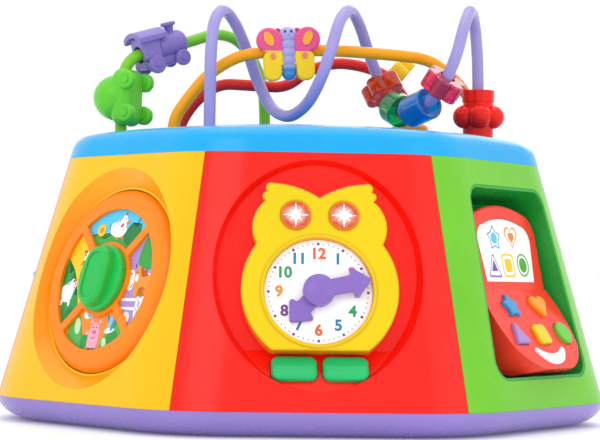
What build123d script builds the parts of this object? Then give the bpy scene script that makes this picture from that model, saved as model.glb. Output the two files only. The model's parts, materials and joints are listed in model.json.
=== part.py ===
from build123d import *
import os
from math import atan2, cos, degrees, pi, radians, sin, sqrt, tan

# Toddler's activity centre: a seven-sided tapered body with one activity on each side, a bead
# maze on its cap and the electronics inside. Millimetres, +Z up. The origin is on the floor,
# on the body's axis, and the red clock side faces -Y. Sides are numbered anticlockwise seen
# from above: 0 clock, 1 telephone, 2 keyboard, 3 gears, -3 steering wheel, -2 roller,
# -1 picture dial.

os.makedirs("parts", exist_ok=True)

# ---------------------------------------------------------------- driving dimensions
SIDES = 7
TURN = 360 / SIDES                 # angle from one side to the next
BOTTOM_INRADIUS = 195.0            # axis to a panel, at the panel's lower edge
TOP_INRADIUS = 152.3               # axis to a panel, at its upper edge
BASE_HEIGHT = 16.0                 # panels stand on the base tray
PANEL_TOP = 174.0
CORNER = 0.42                      # corner radius as a share of the inradius
WALL = 3.0                         # moulded wall
SEAM = 0.15                        # half of the gap between two panels

CAP_HEIGHT = 25.5                  # cap above the panels, at the axis
CROWN_RADIUS = 1185.0              # gentle dome of the cap
CAP_EDGE = 13.0                    # rounding of the cap's edge

TUBE_R = 4.0                       # bead maze tube
TUBE_ROOT = 184.0                  # tubes end here, inside the cap's sockets
SOCKET_R = 7.0
LIP_GAP = 2.5                      # cap's lip, inside the panels
LIP_DROP = 7.0

PILLAR_RING = 115.0                # screw pillars, distance from the axis
PILLAR_R = 5.0
SCREW_R = 1.7

# ---------------------------------------------------------------- frame of one side
TAPER = (BOTTOM_INRADIUS - TOP_INRADIUS) / (PANEL_TOP - BASE_HEIGHT)
SLOPE = degrees(atan2(BOTTOM_INRADIUS - TOP_INRADIUS, PANEL_TOP - BASE_HEIGHT))
MID_INRADIUS = (BOTTOM_INRADIUS + TOP_INRADIUS) / 2
MID_HEIGHT = (BASE_HEIGHT + PANEL_TOP) / 2
# On a side: x to the right, y up the slope, z out of the panel, from the panel's middle.
FACE = Plane(origin=(0, -MID_INRADIUS, MID_HEIGHT), x_dir=(1, 0, 0),
             z_dir=(0, -cos(radians(SLOPE)), sin(radians(SLOPE))))


def place(shape, side):
    """Put a shape drawn on a side's own axes onto that side of the body."""
    return Rot(0, 0, side * TURN) * (FACE.location * shape)


def inradius_at(z):
    return BOTTOM_INRADIUS - TAPER * (z - BASE_HEIGHT)


def heptagon(inradius, z):
    """Rounded seven-sided outline at height z, with a flat towards -Y."""
    circumradius = inradius / cos(pi / SIDES)
    corners = [(circumradius * cos(radians(-90 + TURN * (i + 0.5))),
                circumradius * sin(radians(-90 + TURN * (i + 0.5)))) for i in range(SIDES)]
    outline = Polygon(*corners, align=None)
    return Pos(0, 0, z) * fillet(outline.vertices(), inradius * CORNER)


def tapered_body(inset, low, high):
    """Solid between two heights, its sides a wall thickness (inset) inside the body's skin."""
    shift = inset / cos(radians(SLOPE))
    return loft([heptagon(inradius_at(low) - shift, low),
                 heptagon(inradius_at(high) - shift, high)], ruled=True)


def side_wedge():
    """The seventh of the space that belongs to side 0, less half a seam at each border."""
    reach = 300
    half = radians(TURN / 2)
    tip = SEAM / sin(half)
    left = (-reach * sin(half), -reach * cos(half) - tip)
    right = (reach * sin(half), -reach * cos(half) - tip)
    return extrude(Polygon((0, -tip), left, right, align=None), amount=250)


def slab(outline, low, high):
    """Outline drawn on a side's plane, made solid from low to high along z."""
    return extrude(Pos(0, 0, low) * outline, amount=high - low, dir=(0, 0, 1))


def rod(radius, low, high, x=0.0, y=0.0):
    return slab(Pos(x, y) * Circle(radius), low, high)


def rounded_box(width, length, low, high, radius, x=0.0, y=0.0):
    return slab(Pos(x, y) * RectangleRounded(width, length, radius), low, high)


def side_profile(points, x_low, x_high):
    """Outline of (y, z) points, made solid from x_low to x_high."""
    section = Plane.YZ * Polygon(*points, align=None)
    return extrude(Pos(x_low, 0, 0) * section, amount=x_high - x_low, dir=(1, 0, 0))


def softened(shape, edges, sizes):
    """Round edges with the first of the sizes that the shape can take."""
    for size in sizes:
        try:
            rounded = fillet(edges, size)
            if rounded.is_valid:
                return rounded
        except (ValueError, RuntimeError):
            continue
    return shape


def top_edges(shape):
    """Edges of the face furthest along +Z."""
    return shape.faces().sort_by(Axis.Z)[-1].edges()


def bottom_edges(shape):
    return shape.faces().sort_by(Axis.Z)[0].edges()


def petals(count, reach, petal_r, core_r):
    """Flower outline: round petals about a round core."""
    outline = Circle(core_r)
    for i in range(count):
        angle = radians(90 + 360 / count * i)
        outline += Pos(reach * cos(angle), reach * sin(angle)) * Circle(petal_r)
    return outline


# ---------------------------------------------------------------- base tray and its contents
BASE_INSET = 25.0                  # the base's edge curves in this far down to the floor
FLOOR = 3.0
BATTERY_BOX = (70.0, 66.0)         # outside of the battery compartment
BATTERY_Y = 45.0
BATTERY_ROOF = 22.0
DOOR = (63.0, 59.0)
DOOR_THICK = 2.4
CELL_R = 7.1
CELL_LENGTH = 50.0
CELL_PITCH = 16.5
SPEAKER_R = 28.0
SPEAKER_Y = -52.0
SWITCH_X = 62.0
SWITCH_TRAVEL = 6.0


def pillar_points():
    return [(PILLAR_RING * sin(radians(TURN * (i + 0.5))),
             -PILLAR_RING * cos(radians(TURN * (i + 0.5)))) for i in range(SIDES)]


def base_tray():
    steps = 5
    rings = []
    for i in range(steps):
        angle = pi / 2 * i / (steps - 1)
        inset = BASE_INSET * (1 - cos(angle))
        rings.append(heptagon(BOTTOM_INRADIUS - inset, BASE_HEIGHT * (1 - sin(angle))))
    tray = loft(rings)
    tray -= loft([heptagon(BOTTOM_INRADIUS - BASE_INSET - 3, FLOOR),
                  heptagon(BOTTOM_INRADIUS - 9, BASE_HEIGHT)], ruled=True)
    # upstand that the panels fit around
    outer_lip = BOTTOM_INRADIUS - 5.5
    tray += slab(heptagon(outer_lip, 0) - heptagon(outer_lip - 3, 0), BASE_HEIGHT - 4, BASE_HEIGHT + 5)
    for x, y in pillar_points():
        tray += rod(PILLAR_R + 1, 0, BASE_HEIGHT + 3, x, y)
        tray -= rod(SCREW_R + 0.3, -1, BASE_HEIGHT + 4, x, y)
        tray -= rod(4.2, -1, 6, x, y)
    width, length = BATTERY_BOX
    tray += rounded_box(width, length, 0, BATTERY_ROOF, 3, y=BATTERY_Y)
    tray -= rounded_box(width - 6, length - 6, -1, BATTERY_ROOF - 2.5, 2, y=BATTERY_Y)
    # speaker grille and its collar
    tray += rod(SPEAKER_R + 3, 1, 12, y=SPEAKER_Y) - rod(SPEAKER_R + 0.2, 1, 12, y=SPEAKER_Y)
    for ring, count in ((0, 1), (8, 6), (16, 12), (24, 18)):
        for i in range(count):
            angle = 2 * pi * i / count
            tray -= rod(1.8, -1, FLOOR + 1, ring * cos(angle), SPEAKER_Y + ring * sin(angle))
    # slot for the power switch, in a shallow thumb recess
    tray -= rounded_box(22, 12, -1, 1.2, 5, SWITCH_X, SPEAKER_Y)
    tray -= rounded_box(6.6 + SWITCH_TRAVEL, 5.4, -1, FLOOR + 1, 1, SWITCH_X, SPEAKER_Y)
    return tray


def battery_door():
    width, length = DOOR
    door = rounded_box(width, length, 0, DOOR_THICK, 2, y=BATTERY_Y)
    door -= rod(4.0, -1, 1.2, y=BATTERY_Y + length / 2 - 7)
    door -= rod(1.8, -1, DOOR_THICK + 1, y=BATTERY_Y + length / 2 - 7)
    for x in (-18, -6, 6, 18):
        door -= rounded_box(3, 22, -1, 0.7, 1.4, x, BATTERY_Y - 6)
    return door


def batteries():
    cells = []
    for i in (-1, 0, 1):
        x = i * CELL_PITCH
        cell = Cylinder(CELL_R, CELL_LENGTH - 2.5)
        cell += Pos(0, 0, CELL_LENGTH / 2 - 1.25 + 0.9) * Cylinder(2.6, 1.8)
        flip = 180 if i else 0
        cells.append(Pos(x, BATTERY_Y, 10.6) * Rot(90 + flip, 0, 0) * cell)
    return Compound(children=cells)


def battery_contacts():
    """Spring plates at both ends of the cells, in slots of the compartment's end walls."""
    plates = []
    for end in (-1, 1):
        y = BATTERY_Y + end * (CELL_LENGTH / 2 + 3.2)
        plate = rounded_box(3 * CELL_PITCH - 3, 0.8, 4.2, 17.2, 0.3, y=y)
        for i in (-1, 0, 1):
            coil = Cylinder(4.2, 2.0) - Cylinder(3.2, 2.0)
            plate += Pos(i * CELL_PITCH, y - end * 1.4, 10.6) * Rot(90, 0, 0) * coil
        plates.append(plate)
    return Compound(children=plates)


def cross_head_screw(length):
    """Screw standing on +Z, head down, with a cross recess."""
    head = Cone(SCREW_R, 3.8, 2.6)
    screw = Pos(0, 0, 1.3) * Rot(180, 0, 0) * head
    screw += rod(SCREW_R, 2.6, length)
    for angle in (0, 90):
        screw -= Rot(0, 0, angle) * rounded_box(0.8, 4.0, -1, 1.0, 0.3)
    return screw


def screws():
    group = [Pos(x, y, 3.4) * cross_head_screw(30) for x, y in pillar_points()]
    return Compound(children=group)


def power_switch():
    slider = rounded_box(6.2, 5.0, 0.5, FLOOR, 1)
    slider += rounded_box(11, 9, FLOOR + 0.1, FLOOR + 3, 1)
    slider += rounded_box(6.2, 5.0, FLOOR - 0.5, FLOOR + 0.6, 1)
    for x in (-1.6, 0, 1.6):
        slider -= rounded_box(0.6, 4.0, 0, 1.0, 0.25, x)
    return Pos(SWITCH_X - SWITCH_TRAVEL / 2, SPEAKER_Y, 0) * slider


def speaker():
    frame = rod(SPEAKER_R, FLOOR, FLOOR + 3)
    frame += loft([Pos(0, 0, FLOOR + 3) * Circle(SPEAKER_R - 2), Pos(0, 0, FLOOR + 9) * Circle(15)])
    frame += rod(12, FLOOR + 9, FLOOR + 16)
    frame -= loft([Pos(0, 0, FLOOR) * Circle(SPEAKER_R - 4), Pos(0, 0, FLOOR + 6) * Circle(11)])
    return Pos(0, SPEAKER_Y, 0) * frame


def main_board():
    board = rounded_box(96, 60, BATTERY_ROOF + 4, BATTERY_ROOF + 5.6, 2, y=BATTERY_Y)
    for x in (-30, 30):
        board += rod(3, BATTERY_ROOF, BATTERY_ROOF + 4.5, x, BATTERY_Y)
    top = BATTERY_ROOF + 5.6
    board += rounded_box(14, 14, top - 0.5, top + 2, 0.5, -18, BATTERY_Y + 8)
    board += rounded_box(18, 8, top - 0.5, top + 6, 0.5, 20, BATTERY_Y - 18)
    board += rounded_box(18, 8, top - 0.5, top + 6, 0.5, -30, BATTERY_Y - 18)
    for i in range(4):
        board += rod(2.6, top - 0.5, top + 8, 8 + i * 9, BATTERY_Y + 16)
    return board


# ---------------------------------------------------------------- bead maze
# Each route is a list of points that the tube's bends are drawn between. Both ends of a tube
# go straight down into sockets in the cap.
ROUTES = {
    # lavender: a standing coil of two and a half turns around the orange arch
    "tube_lavender": [(-66, -45, TUBE_ROOT), (-66, -45, 215), (-66, -46, 246), (-64, -38, 270),
                      (-57, -23, 280), (-48, -7, 271), (-39, 4, 252), (-31, 8, 230), (-22, 0, 212),
                      (-11, -22, 205), (0, -45, 213), (8, -57, 230), (14, -59, 249),
                      (20, -48, 270), (29, -26, 282), (38, -6, 272), (46, 6, 252), (55, 8, 231),
                      (62, -6, 215), (70, -24, 210), (81, -42, 215), (91, -53, 228), (98, -58, 246),
                      (104, -50, 267), (112, -27, 284), (118, -6, 275), (121, 0, 255), (122, 0, 225),
                      (122, 0, TUBE_ROOT)],
    # orange: one long flat arch through the middle of the coil
    "tube_orange": [(-90, -25, TUBE_ROOT), (-90, -25, 203), (-80, -25, 218), (-67, -25, 234),
                    (-47, -25, 247), (-20, -25, 251), (18, -25, 252), (56, -25, 250),
                    (82, -22, 248), (98, -10, 241), (111, 10, 233), (121, 25, 222),
                    (126, 30, 205), (126, 30, TUBE_ROOT)],
    # red: low arch with a dip, behind the others
    "tube_red": [(-86, 41, TUBE_ROOT), (-86, 41, 203), (-75, 41, 221), (-58, 41, 234),
                 (-35, 41, 233), (-10, 41, 232), (6, 41, 245), (26, 41, 251), (48, 41, 248),
                 (66, 41, 240), (76, 41, 224), (79, 41, 205), (79, 41, TUBE_ROOT)],
    # green: high at the left, over a hump and down at the back
    "tube_green": [(-126, -6, TUBE_ROOT), (-126, -6, 208), (-125.5, -5.5, 235), (-119, -2, 247),
                   (-82, 20, 260), (-60, 32, 269), (-44, 46, 266), (-31, 56, 250),
                   (-25, 60, 230), (-24, 60, 210), (-24, 60, TUBE_ROOT)],
}
BEND_SHARE = 0.45                  # of the shorter neighbouring run


def bend_radii(points):
    """As large a radius at each corner as its two runs allow."""
    radii = []
    for before, here, after in zip(points, points[1:], points[2:]):
        one = Vector(*here) - Vector(*before)
        two = Vector(*after) - Vector(*here)
        turn = radians(one.get_angle(two))
        radii.append(BEND_SHARE * min(one.length, two.length) / tan(turn / 2))
    return radii


def tube_path(name):
    points = ROUTES[name]
    return FilletPolyline(*points, radius=bend_radii(points))


PATHS = {name: tube_path(name) for name in ROUTES}


def tube(name):
    path = PATHS[name]
    start = Plane(path @ 0, z_dir=path % 0)
    return sweep(start * Circle(TUBE_R), path=path)


# ---------------------------------------------------------------- cap
def crown(drop):
    """Everything below the cap's dome, or below a dome lowered by drop."""
    return Pos(0, 0, PANEL_TOP + CAP_HEIGHT - drop - CROWN_RADIUS) * Sphere(CROWN_RADIUS)


def cap_solid(inset, low, edge):
    top = PANEL_TOP + CAP_HEIGHT + 5
    block = tapered_body(inset, low, top)
    block = block & crown(inset)
    rim = block.faces().sort_by(Axis.Z)[-1].edges()
    return softened(block, rim, (edge, edge * 0.8, edge * 0.6))


def top_cover():
    cover = cap_solid(0, PANEL_TOP, CAP_EDGE)
    cover -= cap_solid(WALL, PANEL_TOP - 1, CAP_EDGE - WALL)
    # a shelf joins the wall to a lip that the panels stand behind, notched for the clock recess
    lip = inradius_at(PANEL_TOP) - WALL - LIP_GAP
    cover += slab(heptagon(lip, 0) - heptagon(lip - WALL, 0), PANEL_TOP - LIP_DROP, PANEL_TOP + 2)
    cover += slab(heptagon(lip + 4, 0) - heptagon(lip - WALL, 0), PANEL_TOP, PANEL_TOP + 2)
    cover -= Pos(0, -lip, PANEL_TOP - LIP_DROP) * Box(96, 16, 2 * LIP_DROP - 1)
    posts = [rod(PILLAR_R, BASE_HEIGHT + 3, PANEL_TOP + CAP_HEIGHT, x, y) for x, y in pillar_points()]
    roots = [end for route in ROUTES.values() for end in (route[0][:2], route[-1][:2])]
    posts += [rod(SOCKET_R, TUBE_ROOT - 3, PANEL_TOP + CAP_HEIGHT, x, y) for x, y in roots]
    for post in posts:
        cover += post & crown(1)
    for x, y in pillar_points():
        cover -= rod(SCREW_R, BASE_HEIGHT + 2, BASE_HEIGHT + 24, x, y)
    for x, y in roots:
        cover -= rod(TUBE_R + 0.05, TUBE_ROOT, PANEL_TOP + CAP_HEIGHT + 5, x, y)
    return cover


# ---------------------------------------------------------------- side panels
SECTOR = tapered_body(0, BASE_HEIGHT, PANEL_TOP) & side_wedge()
BLANK = (tapered_body(0, BASE_HEIGHT, PANEL_TOP)
         - tapered_body(WALL, BASE_HEIGHT - 1, PANEL_TOP + 1)) & side_wedge()


def panel(side, backing, hollow):
    """Side panel with a moulded-in recess: backing is the recess's skin, hollow its inside."""
    shell = BLANK + ((FACE.location * backing) & SECTOR)
    shell -= FACE.location * hollow
    return Rot(0, 0, side * TURN) * shell


# ---- side 0: owl clock
RING_X, RING_Y = 65.0, 73.0        # half width and half height of the oval recess
RING_CENTRE = (-1.0, 4.0)
LEDGE_TOP = (-41.0, -12.5)         # (y, z) where the button ledge meets the recess floor
LEDGE_FOOT = (-69.0, 0.0)
RECESS_TOP_DEPTH = 5.0
LEDGE_TILT = degrees(atan2(LEDGE_FOOT[1] - LEDGE_TOP[1], LEDGE_TOP[0] - LEDGE_FOOT[0]))

OWL_FRONT = 1.5                    # front of the owl, beyond the panel's plane
BODY_R = 48.0
BODY_Y = -6.0
FOOT_Y = -44.0
DIAL_R = 33.0
DIAL_CENTRE = (-0.9, -7.1)
DIAL_FACE = -1.6
EYE_R = 9.2
EYE_X, EYE_Y = 14.8, 40.6
HAND_THICK = 2.8
HOUR_LENGTH, HOUR_ANGLE = 26.6, -222.0       # angles anticlockwise from twelve
MINUTE_LENGTH, MINUTE_ANGLE = 33.0, -77.5
HUB_R = 9.7
AXLE_R = 2.5
RUN = 0.06                         # running clearance on a pin

BUTTON = (28.0, 17.0)
BUTTON_X = 15.6
BUTTON_PROUD = 4.0
BUTTON_TRAVEL = 3.0
LEDGE_PLANE = Plane(origin=(0, (LEDGE_TOP[0] + LEDGE_FOOT[0]) / 2 + 0.5,
                            (LEDGE_TOP[1] + LEDGE_FOOT[1]) / 2 - 0.22),
                    x_dir=(1, 0, 0), z_dir=(0, sin(radians(LEDGE_TILT)), cos(radians(LEDGE_TILT))))


def recess_floor(y):
    """Depth of the clock recess's floor."""
    high = (RING_CENTRE[1] + RING_Y, -RECESS_TOP_DEPTH)
    share = (high[0] - y) / (high[0] - LEDGE_TOP[0])
    return high[1] + share * (LEDGE_TOP[1] - high[1])


def clock_hollow(grow):
    """Inside of the clock recess, or its outside when grown by a wall."""
    mouth = Pos(*RING_CENTRE, 4) * Ellipse(RING_X + 1.6 + grow, RING_Y + 1.6 + grow)
    deep = Pos(*RING_CENTRE, -20) * Ellipse(RING_X - 8 + grow, RING_Y - 8 + grow)
    cone = loft([mouth, deep], ruled=True)
    rise = (LEDGE_FOOT[1] - LEDGE_TOP[1]) / (LEDGE_TOP[0] - LEDGE_FOOT[0])
    far = LEDGE_FOOT[0] - 20
    profile = [(100, 12), (100, recess_floor(100) - grow), (LEDGE_TOP[0], LEDGE_TOP[1] - grow),
               (far, LEDGE_FOOT[1] + 20 * rise - grow), (far, 12)]
    return cone & side_profile(profile, -90, 90)


def panel_clock():
    hollow = clock_hollow(0)
    cuts = hollow + rod(AXLE_R + 0.1, -40, 0, *DIAL_CENTRE)
    for x in (-EYE_X, EYE_X):
        cuts += rod(3.2, -40, 0, x, EYE_Y)
    for x in (-BUTTON_X, BUTTON_X):
        slot = rounded_box(BUTTON[0] + 0.5, BUTTON[1] + 0.5, -8, 8, 5.2, x)
        cuts += LEDGE_PLANE.location * slot
    return panel(0, clock_hollow(WALL), cuts)


def owl_outline():
    """Round body on flat feet, a wider head and two feathered ears with a dip between."""
    foot_x = sqrt(BODY_R ** 2 - (FOOT_Y - BODY_Y) ** 2)
    waist_y = 22.5
    waist_x = sqrt(BODY_R ** 2 - (waist_y - BODY_Y) ** 2)
    half = [Line((0, FOOT_Y), (foot_x, FOOT_Y)),
            ThreePointArc((foot_x, FOOT_Y), (BODY_R, BODY_Y), (waist_x, waist_y)),
            ThreePointArc((waist_x, waist_y), (41, 36), (33, 50)),
            ThreePointArc((33, 50), (35, 53.2), (32, 55.6)),
            ThreePointArc((32, 55.6), (32.6, 59.6), (28, 61)),
            ThreePointArc((28, 61), (13, 58.2), (0, 51.8))]
    mirrored = [mirror(edge, about=Plane.YZ) for edge in half]
    return make_face(half + mirrored)


def owl_body():
    """Moulded owl, standing on the sloping floor of its recess."""
    lean = side_profile([(90, 12), (90, recess_floor(90)), (-60, recess_floor(-60)), (-60, 12)], -60, 60)
    owl = slab(owl_outline(), -20, OWL_FRONT)
    owl = softened(owl, top_edges(owl), (3.0, 2.2, 1.5, 1.0))
    owl = owl & lean
    owl = owl & clock_hollow(-0.2)
    owl -= rod(DIAL_R + 0.15, DIAL_FACE - 1.2, 10, *DIAL_CENTRE)
    lip = rod(DIAL_R + 2.6, OWL_FRONT - 1, OWL_FRONT + 0.9, *DIAL_CENTRE)
    lip -= rod(DIAL_R + 0.15, OWL_FRONT - 2, OWL_FRONT + 2, *DIAL_CENTRE)
    owl += softened(lip, top_edges(lip), (0.6,))
    owl -= rod(AXLE_R + 0.1, -40, 10, *DIAL_CENTRE)
    for x in (-EYE_X, EYE_X):
        owl -= rod(EYE_R + 0.1, OWL_FRONT - 4.5, 10, x, EYE_Y)
        owl -= rod(3.2, -40, 10, x, EYE_Y)
    return owl


def clock_dial():
    dial = rod(DIAL_R, DIAL_FACE - 1.2, DIAL_FACE, *DIAL_CENTRE)
    return dial - rod(AXLE_R + 0.1, -10, 10, *DIAL_CENTRE)


def clock_axle():
    """Pin through dial and panel, with a broad head behind the panel."""
    floor = recess_floor(DIAL_CENTRE[1]) - WALL
    pin = rod(AXLE_R, floor - 2, OWL_FRONT + 4.6, *DIAL_CENTRE)
    return pin + rod(6, floor - 3.5, floor - 0.6, *DIAL_CENTRE)


def hand_outline(length):
    """Hand lying towards +Y, with a rounded spade head."""
    barb = length - 11.5
    neck = barb - 1.5
    shaft = 5.2
    head = Polygon((-10.4, barb), (-shaft, neck), (-shaft, 0), (shaft, 0), (shaft, neck), (10.4, barb),
                   (0, length), align=None)
    sharp = [v for v in head.vertices() if abs(v.Y) > 0.1]
    return fillet(sharp, 1.6) + Circle(HUB_R)


def clock_hand(length, angle, low, dome):
    plate = slab(hand_outline(length), low, low + HAND_THICK)
    plate = softened(plate, top_edges(plate), (1.0, 0.7))
    if dome:
        cap_r = (HUB_R ** 2 + dome ** 2) / (2 * dome)
        ball = Pos(0, 0, low + HAND_THICK + dome - cap_r) * Sphere(cap_r)
        plate += ball & rod(HUB_R, low + 1, low + 20)
        plate -= rod(AXLE_R + RUN, low - 1, low + HAND_THICK + 1.2)
    else:
        plate -= rod(AXLE_R + RUN, low - 1, low + 20)
    return Pos(*DIAL_CENTRE) * Rot(0, 0, angle) * plate


def hour_hand():
    return clock_hand(HOUR_LENGTH, HOUR_ANGLE, DIAL_FACE + 0.8, 0)


def minute_hand():
    return clock_hand(MINUTE_LENGTH, MINUTE_ANGLE, DIAL_FACE + 1.2 + HAND_THICK, 2.6)


def eye_lenses():
    """Two clear domes with a flange, pressed into the owl's face."""
    lenses = []
    for x in (-EYE_X, EYE_X):
        lens = rod(EYE_R, OWL_FRONT - 4.5, OWL_FRONT + 0.4)
        dome_r = 30
        height = 1.8
        ball = Pos(0, 0, OWL_FRONT + height - dome_r) * Sphere(dome_r)
        lens += ball & rod(EYE_R - 1.0, OWL_FRONT, OWL_FRONT + 5)
        lens -= rod(EYE_R - 1.6, OWL_FRONT - 6, OWL_FRONT - 1.6)
        lenses.append(Pos(x, EYE_Y) * lens)
    return Compound(children=lenses)


def owl_lights():
    """Two lamps on a strip of circuit board behind the recess."""
    back = recess_floor(EYE_Y) - WALL
    strip = rounded_box(46, 12, back - 6, back - 4.4, 2, y=EYE_Y)
    for x in (-EYE_X, EYE_X):
        lamp = rod(2.5, back - 4.6, OWL_FRONT - 5.5)
        lamp += Pos(0, 0, OWL_FRONT - 5.5) * Sphere(2.5)
        strip += Pos(x, EYE_Y) * lamp
    return strip


def owl_button(side_x):
    """Soft-edged push button in the sloping ledge, with a stop flange behind it."""
    cap = rounded_box(BUTTON[0], BUTTON[1], -WALL - 2.2, BUTTON_PROUD, 5)
    cap = softened(cap, top_edges(cap), (2.4, 1.6))
    flange_width = BUTTON[0] + 1.6
    flange = rounded_box(flange_width, BUTTON[1] + 3, -WALL - 3.4, -WALL - 1.6, 5)
    stem = rod(3, -WALL - 7, -WALL - 3)
    return LEDGE_PLANE.location * (Pos(side_x, 0) * (cap + flange + stem))


def button_board():
    """Circuit strip behind the ledge, with a rubber dome under each button's stem."""
    drop = WALL + 7 + BUTTON_TRAVEL + 0.4
    strip = rounded_box(58, 14, -drop - 4, -drop - 2.4, 2)
    for x in (-BUTTON_X, BUTTON_X):
        strip += Pos(x, 0, -drop - 2.4) * Cone(5, 3.2, 2.4, align=(Align.CENTER, Align.CENTER, Align.MIN))
    return LEDGE_PLANE.location * strip


# ---- side -1: picture dial
DISH_X, DISH_Y = 67.0, 73.5        # mouth of the dish
DISH_FLOOR_R = 62.5
DISH_DEPTH = 9.0
WELL_R = 61.0
WELL_DEPTH = 14.0
FRAME_R = 60.5
FRAME_FACE = -4.0
WINDOW_OUT, WINDOW_IN = 46.6, 24.5
SPOKE = 5.5
PICTURE_TOP = -6.4
KNOB_R = 21.7
GRIP = (24.0, 39.0)
GRIP_TOP = 6.5
KNOB_SHAFT_R = 5.0


def dish_hollow(grow):
    mouth = Pos(0, 0, 3) * Ellipse(DISH_X + 1.8 + grow, DISH_Y + 3 + grow)
    foot = Pos(0, 0, -DISH_DEPTH) * Ellipse(DISH_FLOOR_R + grow, DISH_FLOOR_R + grow)
    return loft([mouth, foot], ruled=True) + rod(WELL_R + grow, -WELL_DEPTH - grow, -DISH_DEPTH + 1)


def panel_picture():
    cuts = dish_hollow(0) + rod(KNOB_SHAFT_R + 0.3, -40, 0)
    return panel(-1, dish_hollow(WALL), cuts)


def window_sector():
    """One picture window: a ring sector between two spokes, towards +Y."""
    ring = Circle(WINDOW_OUT) - Circle(WINDOW_IN)
    reach = WINDOW_OUT * 1.6
    start = SPOKE / 2 / sin(pi / 4)
    wedge = Polygon((0, start), (reach, reach + start), (-reach, reach + start), align=None)
    window = ring & wedge
    return fillet(window.vertices(), 1.2)


def wheel_frame():
    """Orange ring with four windows; its rim falls away in a round shoulder."""
    bottom = -WELL_DEPTH
    points = [Line((KNOB_SHAFT_R + 0.4, FRAME_FACE), (52, FRAME_FACE)),
              ThreePointArc((52, FRAME_FACE), (57.8, FRAME_FACE - 1.6), (FRAME_R, -9.5)),
              Line((FRAME_R, -9.5), (FRAME_R, bottom)),
              Line((FRAME_R, bottom), (FRAME_R - 4, bottom)),
              Line((FRAME_R - 4, bottom), (FRAME_R - 4, PICTURE_TOP)),
              Line((FRAME_R - 4, PICTURE_TOP), (KNOB_SHAFT_R + 0.4, PICTURE_TOP)),
              Line((KNOB_SHAFT_R + 0.4, PICTURE_TOP), (KNOB_SHAFT_R + 0.4, FRAME_FACE))]
    section = Plane.XZ * make_face(points)
    frame = revolve(section, axis=Axis.Z)
    window = slab(window_sector(), PICTURE_TOP - 1, 5)
    for i in range(4):
        frame -= Rot(0, 0, 90 * i) * window
    return frame


def wheel_pictures():
    """Picture card behind the four windows."""
    return rod(FRAME_R - 4.5, PICTURE_TOP - 1.2, PICTURE_TOP) - rod(KNOB_SHAFT_R + 0.4, -20, 10)


def wheel_knob():
    """Round knob with a raised oblong grip; its shaft turns in the panel."""
    low = FRAME_FACE + 0.4
    base = rod(KNOB_R, low, 0.5)
    base = softened(base, top_edges(base), (2.0,))
    grip = slab(SlotOverall(GRIP[1], GRIP[0], rotation=90), low + 1, GRIP_TOP)
    grip = softened(grip, top_edges(grip), (3.0, 2.0))
    finger = slab(SlotOverall(GRIP[1] - 9, GRIP[0] - 9, rotation=90), GRIP_TOP - 0.8, GRIP_TOP + 5)
    knob = base + grip - finger
    knob += rod(KNOB_SHAFT_R, -WELL_DEPTH - WALL - 4, low + 1)
    clip = rod(7, -WELL_DEPTH - WALL - 4, -WELL_DEPTH - WALL - 0.5)
    knob += clip
    return Rot(0, 0, -4) * knob


# ---- side 1: telephone in a niche
NICHE = [(-41.0, 63.0), (-58.0, -61.0), (61.0, -61.0), (53.0, 63.0)]    # mouth, on the panel
NICHE_ROUND = 11.0
NICHE_DEPTH = 33.0
LINER = 2.0
PHONE_X = 8.0                      # middle of the telephone
PHONE_HALF = 44.0
PAD_HALF = 47.0
PHONE_TOP = 58.0
PHONE_END = -58.5
PHONE_WALL = 2.4
POST_X = 39.0                      # posts, against the shell's side walls
PHONE_GAP = 3.0                    # from the niche's back to the phone's open back
CREASE = (-1.0, -12.0)             # (y, z) where the screen part meets the keypad
SCREEN_DEPTH = -9.0                # front of the screen part at its top
PAD_FOOT = (-62.0, 10.0)           # (y, z) of the keypad's plane at its foot
PAD_TILT = degrees(atan2(PAD_FOOT[1] - CREASE[1], CREASE[0] - PAD_FOOT[0]))
SCREEN_TILT = degrees(atan2(SCREEN_DEPTH - CREASE[1], PHONE_TOP - CREASE[0]))
PAD_PLANE = Plane(origin=(PHONE_X, CREASE[0], CREASE[1]), x_dir=(1, 0, 0),
                  z_dir=(0, sin(radians(PAD_TILT)), cos(radians(PAD_TILT))))
SCREEN_PLANE = Plane(origin=(PHONE_X, CREASE[0], CREASE[1]), x_dir=(1, 0, 0),
                     z_dir=(0, -sin(radians(SCREEN_TILT)), cos(radians(SCREEN_TILT))))
KEY_TRAVEL = 1.5
KEY_PROUD = 2.6
KEY_FIT = 0.35
KEY_FLANGE = 1.2                   # flange behind the shell, around the key


def niche_outline(grow):
    """Mouth of the niche with rounded corners, grown outwards by a wall."""
    face = fillet(Polygon(*NICHE, align=None).vertices(), NICHE_ROUND)
    return offset(face, amount=grow) if grow else face


def niche_hollow(grow):
    return slab(niche_outline(grow), -NICHE_DEPTH - grow, 25)


def panel_phone():
    """Light green side with a window for the dark green niche."""
    return panel(1, niche_hollow(LINER + WALL) - niche_hollow(LINER), niche_hollow(LINER))


def niche_liner():
    tub = slab(niche_outline(LINER), -NICHE_DEPTH - LINER, 12)
    tub -= niche_hollow(0)
    return tub & (FACE.location.inverse() * tapered_body(0.4, BASE_HEIGHT, PANEL_TOP))


def screen_half(grow):
    """Arched top and straight sides, drawn on the screen's plane past the crease."""
    half = [ThreePointArc((0, 56.5), (15, 55.3), (29, 52)),
            ThreePointArc((29, 52), (40, 46), (PHONE_HALF, 36)),
            Line((PHONE_HALF, 36), (PHONE_HALF, -8)), Line((PHONE_HALF, -8), (0, -8))]
    face = make_face(half + [mirror(edge, about=Plane.YZ) for edge in half])
    return offset(face, amount=grow) if grow else face


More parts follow.
